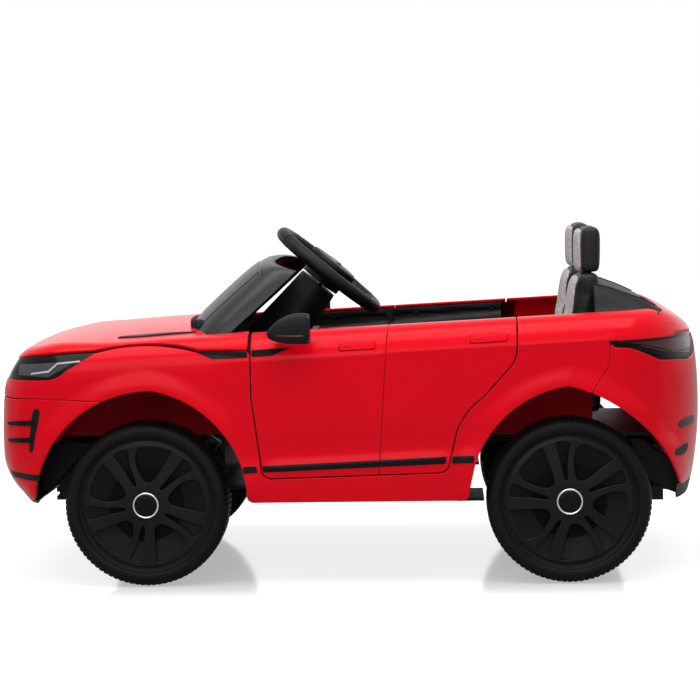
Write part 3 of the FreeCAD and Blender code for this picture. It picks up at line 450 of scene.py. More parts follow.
# Belt roll as inset and height, and the line of the top along the middle
ROLL_FROM = 345
ROLL = np.array([
    (4.2, ROLL_FROM), (7, 350), (10.5, 355), (14.5, 359.3), (19, 362.8), (24.5, 365.8), (30.5, 367.8), (37, 368.8),
    (44, 368.9)], float)
TOP_LINE = np.array([
    (-537, 262), (-523, 300), (-493, 350), (-450, 385), (-400, 398), (-300, 395), (-100, 385), (100, 377), (265, 371),
    (374, 363), (453, 351), (486, 338), (499, 318.5), (511, 300), (523, 281), (532, 246)], float)
TAIL_Z, NOSE_Z = TOP_LINE[:5], TOP_LINE[9:][::-1]
CROWN_HALF = 326

turn = (0.5 - 0.5 * np.cos(np.pi * np.linspace(0, 1, 241))) * np.pi / 2
nose_x = FRONT_S + (NOSE - FRONT_S) * np.cos(turn) ** (2 / NOSE_POWER)
tail_x = REAR_S + (TAIL - REAR_S) * np.cos(turn) ** (2 / TAIL_POWER)
nose_y, tail_y = np.sin(turn) ** (2 / NOSE_POWER), np.sin(turn) ** (2 / TAIL_POWER)
PLAN_X = np.concatenate([tail_x, [0.0], nose_x[::-1]])
PLAN_Y = np.concatenate([tail_y, [1.0], nose_y[::-1]])
PLAN_S = np.concatenate([[0], np.cumsum(np.hypot(np.diff(PLAN_X), np.diff(PLAN_Y) * HALF_W))])
PLAN_S -= np.interp(0.0, PLAN_X, PLAN_S)
S_NOSE, S_TAIL = PLAN_S[-1], PLAN_S[0]

roll_run = np.concatenate([[0], np.cumsum(np.hypot(np.diff(ROLL[:, 0]), np.diff(ROLL[:, 1])))])
V_TABLE = np.concatenate([np.arange(60, ROLL_FROM, 0.5), ROLL_FROM + np.arange(0, roll_run[-1], 0.5)])
on_roll = V_TABLE >= ROLL_FROM
roll_in, roll_h = (hermite(V_TABLE - ROLL_FROM, roll_run, ROLL[:, i]) for i in (0, 1))
H_TABLE = np.where(on_roll, roll_h, V_TABLE)
IN_TABLE = np.where(on_roll, roll_in, hermite(V_TABLE, LEVELS[:, 0], LEVELS[:, 1]))
LEDGE = V_TABLE[-1]


def inset(h, column):
    return hermite(h, LEVELS[:, 0], LEVELS[:, column])


def fall(x):
    return 9 + 15 * step(60, 200, x) * (1 - step(330, 450, x))


def crown(x, y):
    return hermite(x, TOP_LINE[:, 0], TOP_LINE[:, 1]) - fall(x) * (y / CROWN_HALF) ** 2


def skin(s, v):
    """The plain hull, by run along the plan and by height up the side and over the belt."""
    h = np.interp(v, V_TABLE, H_TABLE)
    x = np.interp(s, PLAN_S, PLAN_X)
    y = np.interp(s, PLAN_S, PLAN_Y) * (HALF_W - np.interp(v, V_TABLE, IN_TABLE))
    front = FRONT_S + (x - FRONT_S) * (NOSE - inset(h, 2) - FRONT_S) / (NOSE - FRONT_S)
    rear = REAR_S + (x - REAR_S) * (TAIL + inset(h, 3) - REAR_S) / (TAIL - REAR_S)
    x = np.where(x > FRONT_S, front, np.where(x < REAR_S, rear, x))
    z = h - RAKE * x
    top = z + fall(x) * (y / CROWN_HALF) ** 2
    x_front = np.interp(top, NOSE_Z[:, 1], NOSE_Z[:, 0])
    x_rear = np.interp(top, TAIL_Z[:, 1], TAIL_Z[:, 0])
    x = np.where(x > FRONT_S, smin(x, x_front, 8.0), np.where(x < REAR_S, -smin(-x, -x_rear, 8.0), x))
    z = np.where(x < -330, smin(z, crown(x, y), 6.0), z)
    return np.stack([x, y, z], -1)


def far_from(line, x, z):
    best = np.full(np.shape(x), 1e9)
    for (ax, az), (bx, bz) in zip(line[:-1], line[1:]):
        dx, dz = bx - ax, bz - az
        t = np.clip(((x - ax) * dx + (z - az) * dz) / (dx * dx + dz * dz + 1e-12), 0, 1)
        best = np.minimum(best, np.hypot(x - ax - t * dx, z - az - t * dz))
    return best


front_arch = path((157, 142), ((195, 229), (290, 284)), ((398, 245), (460, 130)))
rear_arch = path((-160, 134), (-167.5, 168), ((-212, 242), (-301, 284)), ((-397, 233), (-460, 138)))


def relief(p):
    """How far the crease under the belt, the swell over the sill and the arch flares stand out."""
    x, z = p[:, 0], p[:, 2]
    h = z + RAKE * x
    along = (1 - step(152, 215, x)) * (1 - 0.7 * step(335, 380, -x))
    crease = 1.7 * np.clip(1 - np.abs(h - 332) / 12, 0, 1) * along
    swell = 2.2 * np.exp(-((h - 176) / 9) ** 2) * step(-140, -110, x) * (1 - step(110, 135, x))
    lip = np.minimum(far_from(front_arch[::3], x, z), far_from(rear_arch[::3], x, z))
    return crease + swell + 4.5 * (1 - step(2, 32, lip))


def body(s, v):
    p = skin(s, v)
    return p - normals_of(skin, s, v) * relief(p)[..., None]


def sv(points):
    """Surface places of points in side view."""
    points = np.asarray(points, float).reshape(-1, 2)
    x, z = points[:, 0], points[:, 1]
    h = z + RAKE * x
    front = FRONT_S + (x - FRONT_S) * (NOSE - FRONT_S) / (NOSE - inset(h, 2) - FRONT_S)
    rear = REAR_S + (x - REAR_S) * (TAIL - REAR_S) / (TAIL + inset(h, 3) - REAR_S)
    x = np.where(x > FRONT_S, front, np.where(x < REAR_S, rear, x))
    rising = H_TABLE < 368
    v = np.interp(h, H_TABLE[rising], V_TABLE[rising])
    return np.stack([np.interp(np.clip(x, TAIL, NOSE), PLAN_X, PLAN_S), v], 1)


def sv_at(y, z, sign):
    """Surface place of a point in front view (sign 1) or rear view (sign -1)."""
    x = sign * 500.0
    ends = (PLAN_Y[-240:][::-1], PLAN_S[-240:][::-1]) if sign > 0 else (PLAN_Y[:240], PLAN_S[:240])
    for _ in range(6):
        h = z + RAKE * x
        s = np.interp(y / (HALF_W - np.interp(h, V_TABLE, IN_TABLE)), *ends)
        x = skin(np.array([s]), np.array([h]))[0, 0]
    return np.array([[s, z + RAKE * x]])


# Outlines of the skin panels, in side view, and at the middle, the grille's ends and the rear lamps' ends
GRILLE_Y, LAMP_Y = 168.7, 96.0
BUMPER_SEAM, TAIL_SEAM, QUARTER = (452, 273), (-358.5, 314.5), (-455, 349.5)
DOOR_FRONT, DOOR_REAR, DOOR_GAP = 147.7, -229, 1.3


def at_nose(z, x):
    return S_NOSE, z + RAKE * x


def at_tail(z, x):
    return S_TAIL, z + RAKE * x


def at_grille(z):
    return sv_at(GRILLE_Y, z, 1)


def at_lamp(z):
    return sv_at(LAMP_Y, z, -1)


door_line = path(
    (147.5, 350), (147, 271), (134.5, 170), ((131, 160), (122, 156)), (-116, 162), ((-126, 165), (-132, 176)),
    (-142, 219), ((-154, 243), (-180, 269)), (-218, 311), ((-225, 322), (-228, 336)), (-228.6, 350))
door_sv = sv(door_line)
door_loop = chain(
    run((DOOR_FRONT, LEDGE), door_sv[0]), door_sv, legs(door_sv[-1], (DOOR_REAR, LEDGE), (DOOR_FRONT, LEDGE)))
hole_loop = grow(door_loop, DOOR_GAP * np.sign(signed_area(door_loop)))
hole_chain = hole_loop[hole_loop[:, 1] < LEDGE - 1]
start = np.argmin(np.abs(hole_chain[:, 0] - 150) + np.abs(hole_chain[:, 1] - LEDGE))
hole_chain = np.roll(hole_chain, -start, 0)
front_cut = hole_chain[(hole_chain[:, 0] < 100) | (hole_chain[:, 1] < 337 + RAKE * 150)]

arch_low, arch_bumper = meet(front_arch, (335, 268.6), BUMPER_SEAM)
arch_side, arch_tail = meet(rear_arch, (-318, 249), TAIL_SEAM)
hood_seam = path((372, 337), ((297, 347), (222, 337)), (205, 337), (151, 337.5))
lamp_low = path((438, 300), ((424, 304), (412, 312)), (373, 336))
quarter_end = sv([QUARTER])[0]
side_loop = chain(
    sv(hood_seam), front_cut, legs(front_cut[-1], (-231.6, LEDGE), (quarter_end[0], LEDGE), quarter_end),
    sv(path(QUARTER, (-432, 348.7), (-358.5, 346.5), TAIL_SEAM)), sv(run(TAIL_SEAM, arch_side[-1])),
    sv(arch_side[::-1]),
    sv(path((-160, 134), ((-157, 124), (-149, 120)), (147, 120), ((154, 123), (157, 132)), (157, 142))), sv(arch_low),
    sv(run(arch_low[-1], BUMPER_SEAM)), legs(sv([BUMPER_SEAM]), at_grille(274), at_grille(300), sv([(438, 300)])),
    sv(lamp_low))
lip_line = chain(legs(sv([(466, 123)]), sv_at(228, 136, 1), sv_at(165, 152, 1), at_nose(153, 505)))
bumper_loop = chain(
    sv(run(BUMPER_SEAM, arch_bumper[0])), sv(arch_bumper), run(sv([arch_bumper[-1]]), lip_line[0]), lip_line,
    legs(lip_line[-1], at_nose(274, 524), sv([BUMPER_SEAM])))
tail_lamp_low = path(TAIL_SEAM, (-358.5, 343.5), (-367, 338), (-388, 336.5), ((-408, 329), (-431, 318)))
tail_loop = chain(
    sv(run(arch_tail[0], TAIL_SEAM)), sv(tail_lamp_low),
    legs(sv([(-431, 318)]), sv_at(190, 313, -1), at_lamp(319), at_lamp(345), at_tail(345, -480), at_tail(132, -500),
         sv([(-465, 132)])),
    sv(run((-465, 132), arch_tail[-1])), sv(arch_tail[::-1]))


def across(loop, end, **how):
    """A sheet from a half outline that ends on the middle plane, run on as its mirror image."""
    on = np.abs(loop[:, 0] - end) < 0.5
    start = next(i for i in range(len(loop)) if on[i] and not on[(i + 1) % len(loop)])
    loop, on = np.roll(loop, -start, 0), np.roll(on, -start)
    half = loop[:next(i for i in range(1, len(loop)) if on[i]) + 1]
    whole = np.vstack([half, (half * [-1, 1] + [2 * end, 0])[::-1]])

    def surface(s, v):
        beyond = (s - end) * end > 0
        p = body(np.where(beyond, 2 * end - s, s), v)
        p[:, 1] *= np.where(beyond, -1, 1)
        return p

    return sheet(surface, [clean(whole)], sign=-1.0, **how)


replace_pair(pair("body_skin", sheet(body, [side_loop], gap=0.6, edge=1.1), RED, CHASSIS), "body_side")

# Doors, with the moulded line of a rear door
SPLIT_TOP, SPLIT_LOW = (-47, 373), (-32, 164)


def cut_by(loop, sign):
    """The part of an outline before (sign 1) or behind (sign -1) the split line."""
    z = loop[:, 1] - RAKE * loop[:, 0]
    slant = (SPLIT_TOP[0] - SPLIT_LOW[0]) / (SPLIT_TOP[1] - SPLIT_LOW[1])
    value = sign * (loop[:, 0] - SPLIT_LOW[0] - (z - SPLIT_LOW[1]) * slant)
    kept = []
    for p, q, a, b in zip(loop, np.roll(loop, -1, 0), value, np.roll(value, -1)):
        if a >= 0:
            kept.append(p)
        if (a >= 0) != (b >= 0):
            kept.append(p + a / (a - b) * (q - p))
    return clean(closed(np.array(kept)))


door_data = joined(*[sheet(body, [cut_by(door_loop, sign)], gap=0.6) for sign in (1, -1)])
replace_pair(pair("door_skin", door_data, RED, DOORS), "door")

# Bumper and tail, each one skin across the car
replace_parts(piece("bumper_skin", across(bumper_loop, S_NOSE, gap=0.8), RED, "chassis"), "front_bumper")
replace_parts(piece("tail_skin", across(tail_loop, S_TAIL, gap=0.8), RED, "chassis"), "rear_bumper")


# Hood and tail top, as heights over the plan
def hull_height(x, y):
    low, high = np.full(np.shape(x), 300.0), np.full(np.shape(x), 440.0)
    y = np.abs(y)
    for _ in range(30):
        h = (low + high) / 2
        wide = y / (HALF_W - inset(h, 1))
        front = np.maximum((x - FRONT_S) / (NOSE - inset(h, 2) - FRONT_S), 0)
        rear = np.maximum((x - REAR_S) / (TAIL + inset(h, 3) - REAR_S), 0)
        outside = np.where(
            x > 0, wide ** NOSE_POWER + front ** NOSE_POWER > 1, wide ** TAIL_POWER + rear ** TAIL_POWER > 1)
        high = np.where(outside, h, high)
        low = np.where(outside, low, h)
    return (low + high) / 2 - RAKE * x


def top_skin(x, y):
    return np.stack([x, y, smin(hull_height(x, y), crown(x, y), 12.0)], -1)


def edge_of(points):
    return skin(points[:, 0], points[:, 1])[:, :2]


def other_side(line):
    return (line * [1, -1])[::-1]


HOOD_REAR, COWL_X, TAIL_FRONT, BELT_Y = 151.5, 212, -438, 242
hood_side = edge_of(chain(
    sv(path((HOOD_REAR, 338), (205, 338), (222, 338), ((297, 348), (372, 338)), (468, 332), (498, 327))),
    run(sv([(498, 327)]), at_nose(320, 512))))
hood_loop = chain(
    hood_side, other_side(hood_side), legs((HOOD_REAR, -hood_side[0, 1]), (HOOD_REAR, -BELT_Y), (COWL_X, -BELT_Y)),
    path((COWL_X, BELT_Y), ((257, 0), (COWL_X, -BELT_Y)))[::-1],
    legs((COWL_X, BELT_Y), (HOOD_REAR, BELT_Y), hood_side[0]))
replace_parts(piece("hood_skin", sheet(top_skin, [hood_loop], grid=6.0, gap=0.6), RED, "chassis"), "hood")
tail_side = edge_of(chain(
    sv(path((-455, 350), (-470, 349.5), (-508, 347), gap=1.0)), run(sv([(-508, 347)]), at_tail(346, -495))))
tail_top_loop = chain(
    tail_side, other_side(tail_side),
    legs(tail_side[0] * [1, -1], (TAIL_FRONT, -BELT_Y), (TAIL_FRONT, BELT_Y), tail_side[0]))
piece("tail_top_skin", sheet(top_skin, [tail_top_loop], grid=6.0, gap=0.6), RED, "chassis")

# Wheels: a grooved tyre turned round the axle, and a five-spoke cover with sunk pockets, whose floors are coloured
# darker than the cover as painted shade
WHEEL_X, WHEEL_Y, WHEEL_Z, COVER_OUT = 302.0, 233.0, 118.0, 31.5
SHIELD = [(81.5, 25), (70, 28), (58, 26.5), (46, 19.5), (38, 13), (34, 8.5), (32.6, 3.5), (34, -1.5), (39, -5),
          (47, -9), (57, -12.5), (68, -16.5), (78, -20.5), (85, -23)]
SLOT = [(87, 12), (76, 10), (62, 7.6), (48, 5.6), (35, 4.6), (30.5, 3.2), (30, 1), (34, -0.6), (48, -1.4), (62, -3.4),
        (74, -6.4), (84, -10)]
# Profiles as radius, place along the axle and groove depth, whose sign sets the stagger
TYRE_PROFILE = [
    (20, 20, 0), (20, -30, 0), (30, -30, 0), (32, 14, 0), (88, 14, 0), (90, -30, 0), (92, -34, 0), (96, -36, 0),
    (101, -38, 0), (106, -38.6, 0), (111, -37, 0), (114.4, -33.5, 0.9), (116.6, -29, 1.4), (117.6, -23, 1.4),
    (117.9, -15, 1.4), (118, -3, 1.4), (118, -2.4, 0), (116.4, -2, 0), (116.4, 2, 0), (118, 2.4, 0), (118, 3, -1.4),
    (117.9, 15, -1.4), (117.6, 23, -1.4), (116.6, 29, -1.4), (114.4, 33.5, -0.9), (112.6, 35.8, 0), (109, 37.8, 0),
    (105, 38.6, 0), (101, 38.2, 0), (98.6, 37.2, 0), (97.6, 35.6, 0), (97.2, 32, 0), (95, 30, 0), (30, 24, 0),
    (20, 20, 0)]
CAP = [(0.02, 7.6, 0), (8, 7.5, 0), (14, 7.0, 0), (15.9, 6.6, 0), (16.6, 6.2, 0), (18.6, 6.0, 0), (19.6, 5.2, 0),
       (20, 3.2, 0)]
RING = [(16.2, 6.3, 0), (16.7, 7.0, 0), (17.6, 7.2, 0), (18.4, 6.9, 0), (18.8, 6.0, 0)]


def about(points, degrees):
    c, s = math.cos(math.radians(degrees)), math.sin(math.radians(degrees))
    u, w = points[:, 0], points[:, 1]
    return np.stack([u * c - w * s, u * s + w * c], 1)


def dome(r):
    return 4.0 * (1 - step(20, 92, r))


def cover_face(a, b):
    r = np.hypot(a, b)
    return np.stack([-a, dome(r) - 2.5 * step(86, 95, r), b], -1)


def pocket_face(a, b):
    r = np.hypot(a, b)
    return np.stack([-a, dome(r) - 7.5 + 5.5 * step(76, 86, r), b], -1)


def pocket(hole):
    flat, tris, _ = fill([clean(grow(wound(hole), 1.2), 0.3)], 4.0)
    u, v = flat.T
    return pocket_face(u, v), tris, normals_of(pocket_face, u, v, 0.5)


def lathe(profile, count):
    """Turns a profile about the wheel axle, with a groove at every fourth step."""
    t = np.arange(count) * 2 * math.pi / count
    rows = []
    for radius, depth, cut in profile:
        r = radius - abs(cut) * ((np.arange(count) + (2 if cut > 0 else 0)) % 4 == 0)
        rows.append(np.stack([-r * np.cos(t), np.full(count, depth), r * np.sin(t)], 1))
    return np.vstack(rows), quads(len(rows), count, flip=True)


def wheel_piece(name, end, tag, data, look_of, out=COVER_OUT):
    form = data if tag == "left" else mirrored(data)
    place = [WHEEL_X if end == "front" else -WHEEL_X, (WHEEL_Y + out) * dict(SIDES)[tag], WHEEL_Z]
    return piece("%s_%s_%s" % (name, end, tag), (form[0] + place, *form[1:]), look_of, "%s_%s_wheel" % (end, tag))


rim_turn = np.arange(int(2 * math.pi * 95.5 / 2.5))
rim_turn = rim_turn * 2 * math.pi / len(rim_turn)
cover_rim = 95.5 * np.stack([np.cos(rim_turn), np.sin(rim_turn)], 1)
tyre_form, cap_form, ring_form = lathe(TYRE_PROFILE[::-1], 360), lathe(CAP, 72), lathe(RING, 72)
for end, turn in (("front", 78.6), ("rear", 275.5)):
    holes = [about(smooth_loop(form), turn + first + 72 * n)
             for form, first in ((SHIELD, 0), (SLOT, 36)) for n in range(5)]
    face = sheet(cover_face, [cover_rim] + holes, grid=4.0, edge=1.5, thick=8.5, gap=0.0, back=False)
    pockets = joined(*[pocket(hole) for hole in holes])
    for tag, _ in SIDES:
        wheel = "%s_%s_wheel" % (end, tag)
        tyre = wheel_piece("tyre", end, tag, tyre_form, TYRE, 0)
        tyre.data.set_sharp_from_angle(angle=math.radians(38))
        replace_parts(tyre, wheel)
        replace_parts(wheel_piece("cover", end, tag, face, COVER), wheel + "_cover")
        wheel_piece("pockets", end, tag, pockets, POCKET_SHADE)
        wheel_piece("cap", end, tag, cap_form, GLOSS)
        wheel_piece("cap_ring", end, tag, ring_form, SILVER)


# Dark red sheets behind the seams: painted shade in the gaps between panels
def ribbon(line, half, depth=6):
    line = clean(np.asarray(line, float), 2.0)
    ahead = unit(np.gradient(line, axis=0))
    side = np.stack([ahead[:, 1], -ahead[:, 0]], 1)
    verts = []
    for offset in (-half, 0, half):
        s, v = (line + offset * side).T
        v = np.minimum(v, LEDGE - 1)
        verts.append(skin(s, v) + depth * normals_of(skin, s, v))
    return np.vstack(verts), quads(3, len(line), wrap=False)


backing = joined(
    ribbon(hole_chain, 14), ribbon(sv(hood_seam), 9), ribbon(sv(path((-358.5, 351), TAIL_SEAM, (-335, 278))), 8),
    ribbon(np.vstack([sv(path((345, 270), BUMPER_SEAM)), run(sv([BUMPER_SEAM]), at_grille(274))]), 8),
    ribbon(run((quarter_end[0], LEDGE), quarter_end), 8))
piece("seam_backing", joined(backing, mirrored(backing)), SEAM_SHADE, "chassis")

# Wheel-arch liners, with a fold along the roof, in a darker red that is painted shade inside the arches
LINER_LOW, LINER_OUT = 205, 277


def liner(line, y_in, x_low, x_high):
    loop = line[(line[:, 0] >= x_low) & (line[:, 0] <= x_high) & (line[:, 1] >= LINER_LOW)]
    ahead = unit(np.gradient(loop, axis=0))
    out = np.stack([ahead[:, 1], -ahead[:, 0]], 1)
    middle = loop.mean(0) - [0, 60]
    out *= np.sign(((loop - middle) * out).sum(1))[:, None]
    stations = [(LINER_OUT, 2.0), (LINER_OUT - 18, 3.0), (LINER_OUT - 46, 4.0), (LINER_OUT - 50, 0.5), (y_in + 24, 1.0),
                (y_in + 4, 0.0), (y_in, -5.0)]
    rows = [at_y(loop + out * lift, y) for y, lift in stations]
    rows.append(rows[-1] * [1, 1, 0] + [0, 0, LINER_LOW])
    return np.vstack(rows), quads(len(rows), len(loop), wrap=False, flip=True)


for end, form in (("front", liner(front_arch, 143, 150, 455)), ("rear", liner(rear_arch, 181, -345, -150))):
    for made in pair("arch_liner_" + end, form, SHADED_RED, CHASSIS):
        made.data.set_sharp_from_angle(angle=math.radians(40))


# Lofts and tubes
def lofted(rows, wrap=True, caps=True):
    count = len(rows[0])
    faces = quads(len(rows), count, wrap)
    if caps:
        faces.append(tuple(range(count))[::-1])
        faces.append(tuple((len(rows) - 1) * count + i for i in range(count)))
    return np.vstack(rows), faces


def solid(name, data, look_of, body="chassis", sharp=35):
    made = piece(name, data, look_of, body)
    work = bmesh.new()
    work.from_mesh(made.data)
    bmesh.ops.recalc_face_normals(work, faces=work.faces)
    work.to_mesh(made.data)
    work.free()
    made.data.set_sharp_from_angle(angle=math.radians(sharp))
    return made


def both(name, data, look_of, bodies):
    left = solid(name + "_left", data, look_of, bodies[0])
    return left, solid(name + "_right", (data[0] * FLIP, data[1]), look_of, bodies[1])


def spline(points, gap=2.0):
    points = np.asarray(points, float)
    run_of = np.concatenate([[0], np.cumsum(np.linalg.norm(np.diff(points, axis=0), axis=1))])
    at = np.linspace(0, run_of[-1], max(3, int(run_of[-1] / gap)))
    return np.stack([hermite(at, run_of, points[:, i]) for i in range(points.shape[1])], 1)


def tube(points, radius, sides=8):
    points = np.asarray(points, float)
    ahead = unit(np.gradient(points, axis=0))
    side = unit(np.cross(ahead, [0.31, 0.57, 0.76]))
    t = np.arange(sides)[:, None] * 2 * math.pi / sides
    frames = zip(points, side, np.cross(ahead, side))
    return lofted([p + radius * (np.cos(t) * a + np.sin(t) * b) for p, a, b in frames])


def superloop(count, power):
    t = np.arange(count) * 2 * math.pi / count
    return [np.sign(f) * np.abs(f) ** (2 / power) for f in (np.cos(t), np.sin(t))]


def skin_tube(places, radius, lift):
    s, v = legs(*places, gap=3.0).T
    return tube(body(s, v) - lift * normals_of(body, s, v), radius)


# Trims that lie on the skin
def on_skin(name, corners, look_of, bodies, smooth=0, **how):
    loop = np.asarray(corners, float)
    loop = smooth_loop(loop, 2.0, smooth) if smooth else closed(loop, 3.0)
    settings = {"grid": 4.0, "edge": 0.8, "gap": 0.0, "lift": 1.0, "back": False, **how}
    pair(name, sheet(body, [loop], **settings), look_of, bodies)


def rounded(s0, s1, v0, v1, radius):
    corners = []
    for cs, cv, a0 in ((s1 - radius, v1 - radius, 0), (s0 + radius, v1 - radius, 90), (s0 + radius, v0 + radius, 180),
                       (s1 - radius, v0 + radius, 270)):
        for a in np.radians(a0 + 15 * np.arange(7)):
            corners.append((cs + radius * math.cos(a), cv + radius * math.sin(a)))
    return corners


on_skin("fender_vent", [(222.5, 347), (152, 345.8), (151.6, 336), (201, 337.4)], GLOSS, CHASSIS)
on_skin("door_vent", [(146.2, 346.6), (88.3, 347.8), (116.4, 337), (146, 336.8)], GLOSS, DOORS)
on_skin("fender_stripe", [(161, 181), (142.4, 180.4), (140.2, 171), (161, 171.6)], GLOSS, CHASSIS)
on_skin("door_stripe", [(134, 180.2), (-128, 179), (-126.3, 169), (132.6, 171)], GLOSS, DOORS)
on_skin("quarter_stripe", [(-137, 179), (-167, 178.2), (-166.6, 168.1), (-135, 168.5)], GLOSS, CHASSIS)
for tag, s0, s1 in (("front", -29, 22), ("rear", -215, -163)):
    plate = rounded(s0, s1, 338, 350, 3)
    on_skin("handle_" + tag, plate, RED, DOORS, lift=1.6, edge=1.1)
    # a thin dark tube round each handle plate: painted shade in the groove
    both("handle_groove_shade_" + tag, skin_tube(plate + plate[:2], 0.6, 0.1), SEAM_SHADE, DOORS)
    on_skin("handle_dot_" + tag, rounded(s1 - 17, s1 - 7, 342, 346.5, 2.1), RED, DOORS, lift=2.4)
on_skin("bumper_slot", [(464, 281), (451.5, 279.5), (453.5, 264), (460, 239), (463, 217), (471, 217.5), (468, 243)],
        BLACK, CHASSIS, smooth=1)
for tag, v0 in (("upper", 256), ("lower", 231.5)):
    on_skin("bumper_fin_" + tag, [
        (459, v0 + 8), (490, v0 + 7), (514, v0 + 5.5), (519, v0 + 3), (510, v0), (463, v0)], GLOSS, CHASSIS, lift=2.5)
on_skin("front_trim", [(457, 185), (492, 187), (525, 189), (525, 180), (492, 178), (460, 176)], BLACK, CHASSIS)
on_skin("rear_reflector", [(-478, 204.5), (-511, 208), (-553, 208), (-555, 194), (-510, 194), (-481, 193.5)], RED_LENS,
        CHASSIS, smooth=2)
on_skin("tail_trim", [(-463, 164), (-490, 169), (-522, 170), (-516, 155.5), (-472, 155)], BLACK, CHASSIS, smooth=1)

# Windscreen shell: height, side edge, middle, half width and drop of the edge, from the foot to the rolled rim
SCREEN_ROWS = np.array([
    (351, 188, 250, 236.5, 0), (362, 179, 248.5, 235.5, 0), (374, 166, 243, 233, 0), (388, 150.5, 231, 229.5, 0.5),
    (402, 135.5, 216, 226, 1), (418, 119, 198.5, 221.5, 2), (434, 104, 180, 217, 4), (445, 95, 167, 213.5, 7),
    (452, 90.5, 158, 211, 9), (457, 87.5, 149, 208.5, 11), (460, 85.5, 140, 206, 13), (461, 84.5, 132, 203, 14)])
SCREEN_RIM = [(460.6, 84.6, 126.5, 199.8, 14.2), (458.8, 85.4, 124.6, 197.6, 14)]
SCREEN_WALL = np.array([-1.0, 1.5, -6.5, -6.5, 0])


def screen_point(row, turn):
    height, edge, middle, half, drop = row
    c = np.abs(np.cos(turn)) ** (2 / 3.1)
    s = np.sign(np.sin(turn)) * np.abs(np.sin(turn)) ** (2 / 3.1)
    return np.stack([edge + (middle - edge) * c, half * s, height - drop * (1 - c)], -1)


def screen_rows(level):
    index = np.arange(len(SCREEN_ROWS), dtype=float)
    return np.stack([hermite(level, index, SCREEN_ROWS[:, i]) for i in range(5)], 1)


def screen_line(pairs):
    level, turn = spline(pairs, 0.15).T
    return np.array([screen_point(row, t) for row, t in zip(screen_rows(level), np.radians(turn))])


turns = np.linspace(-math.pi / 2, math.pi / 2, 121)
turns = turns + 0.12 * np.sin(4 * turns)
outer = screen_rows(np.linspace(0, len(SCREEN_ROWS) - 1, (len(SCREEN_ROWS) - 1) * 3 + 1))
rings = [screen_point(row, turns) for row in [*outer, *SCREEN_RIM, *(outer + SCREEN_WALL)[::-1][1:]]]
screen_verts, screen_faces = lofted(rings, wrap=False, caps=False)
for edge in (0, len(turns) - 1):
    loop = [row * len(turns) + edge for row in range(len(rings))]
    for i in range(len(rings) // 2):
        face = (loop[i], loop[i + 1], loop[-2 - i], loop[-1 - i])
        if len(set(face)) == 4:
            screen_faces.append(face)
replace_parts(solid("windscreen_shell", (screen_verts, screen_faces), SCREEN, sharp=50), "windscreen")
seams = []
for _, sign in SIDES:
    for pairs in ([(0.5, 52), (3, 54), (5, 55), (7.4, 56)], [(9.6, 4), (9.3, 30), (8.4, 52), (7.0, 66)]):
        seams.append(tube(screen_line([(level, sign * turn) for level, turn in pairs]), 0.7))
solid("windscreen_seams", joined(*seams), GLOSS)
clip = []
for y, x in ((172, 234), (190, 228)):
    c, s = superloop(16, 3)
    clip.append(lofted([
        np.stack([x + 9 * size * c, y + 6 * size * s, np.full(16, 366.0 + lift)], 1)
        for lift, size in ((0, 1), (9, 1), (12, 0.7))]))
both("cowl_clip", joined(*clip), BLACK, CHASSIS)

# Door mirrors: place along the car, then low, high, inner and outer limits
MIRROR = np.array([
    (64, 350, 391, 293, 318.2), (66, 349, 392.3, 292.4, 318.8), (75, 349, 393, 292, 319), (90, 349.6, 391, 292, 319),
    (104, 351.5, 384.5, 293, 318.2), (114, 354.5, 376, 295, 316), (119.5, 357.5, 370, 297.5, 313.5),
    (122, 361, 366, 301, 309)])
# Rim of the glass: place along the car and growth
MIRROR_RIM = ((64.3, 0), (61.8, 0), (61.4, 0.8), (61.6, 2.0))
c, s = superloop(40, 3.4)
rows = [np.stack([np.full(40, x), 306 + c * (9.9 + more), 370.8 + s * (16.5 + 1.7 * more)], 1)
        for x, more in MIRROR_RIM]
for x in [64, 65, 66, *np.linspace(67, 119.5, 20), 120.5, 121.4, 122]:
    low, high, near, out = (np.interp(x, MIRROR[:, 0], MIRROR[:, i]) for i in range(1, 5))
    rows.append(np.stack([
        np.full(40, x), (near + out) / 2 + c * (out - near) / 2, (low + high) / 2 + s * (high - low) / 2], 1))
replace_pair(both("mirror_shell", lofted(rows), BLACK, DOORS), "mirror")
c, s = superloop(24, 3)
both("mirror_foot", lofted([
    np.stack([106 + 8 * size * c, np.full(24, y), 358 + 5 * size * s], 1)
    for y, size in ((282, 1.25), (287, 1.0), (298, 1.0))]), BLACK, DOORS)
both("mirror_strip", tube(spline([(70, 318.2, 361), (85, 318.2, 361), (100, 317.5, 361.4), (108, 316, 361.6)]), 1.5),
     RED_LENS, DOORS)

# Seam rings on the steering wheel's rim
HUB = np.array([48.0, 0.0, 440.0])
TILT = math.radians(39.4)
FORE, ACROSS = np.array([math.cos(TILT), 0.0, math.sin(TILT)]), np.array([0.0, 1.0, 0.0])
FACE = np.array([-math.sin(TILT), 0.0, math.cos(TILT)])
RIM_R, GRIP_R = 88, 10.0
bands = []
t = np.arange(28)[:, None] * 2 * math.pi / 28
for a in np.radians((35, 145, -35, -145)):
    spoke = math.cos(a) * FORE + math.sin(a) * ACROSS
    ring = HUB + RIM_R * spoke + GRIP_R * (np.cos(t) * spoke + np.sin(t) * FACE)
    bands.append(tube(np.vstack([ring, ring[:2]]), 0.55, 6))
solid("rim_seams", joined(*bands), GLOSS, "steering")

# Rear deck cover as heights over the plan, with a ridge along each top edge
DECK = np.array([
    (-444, 383), (-439, 386.5), (-430, 391), (-408, 401.5), (-386, 410), (-366, 417), (-350, 421), (-338, 423)])
RIDGE_Y = 204.0


def deck_skin(x, y):
    top = hermite(x, DECK[:, 0], DECK[:, 1])
    low = np.minimum(381.0, top - 1.5)
    dip = 1 - 0.34 * (1 - step(120, 205, np.abs(y)))
    return np.stack([x, y, low + (top - low) * dip * (1 - step(203, 239, np.abs(y)) ** 1.3)], -1)


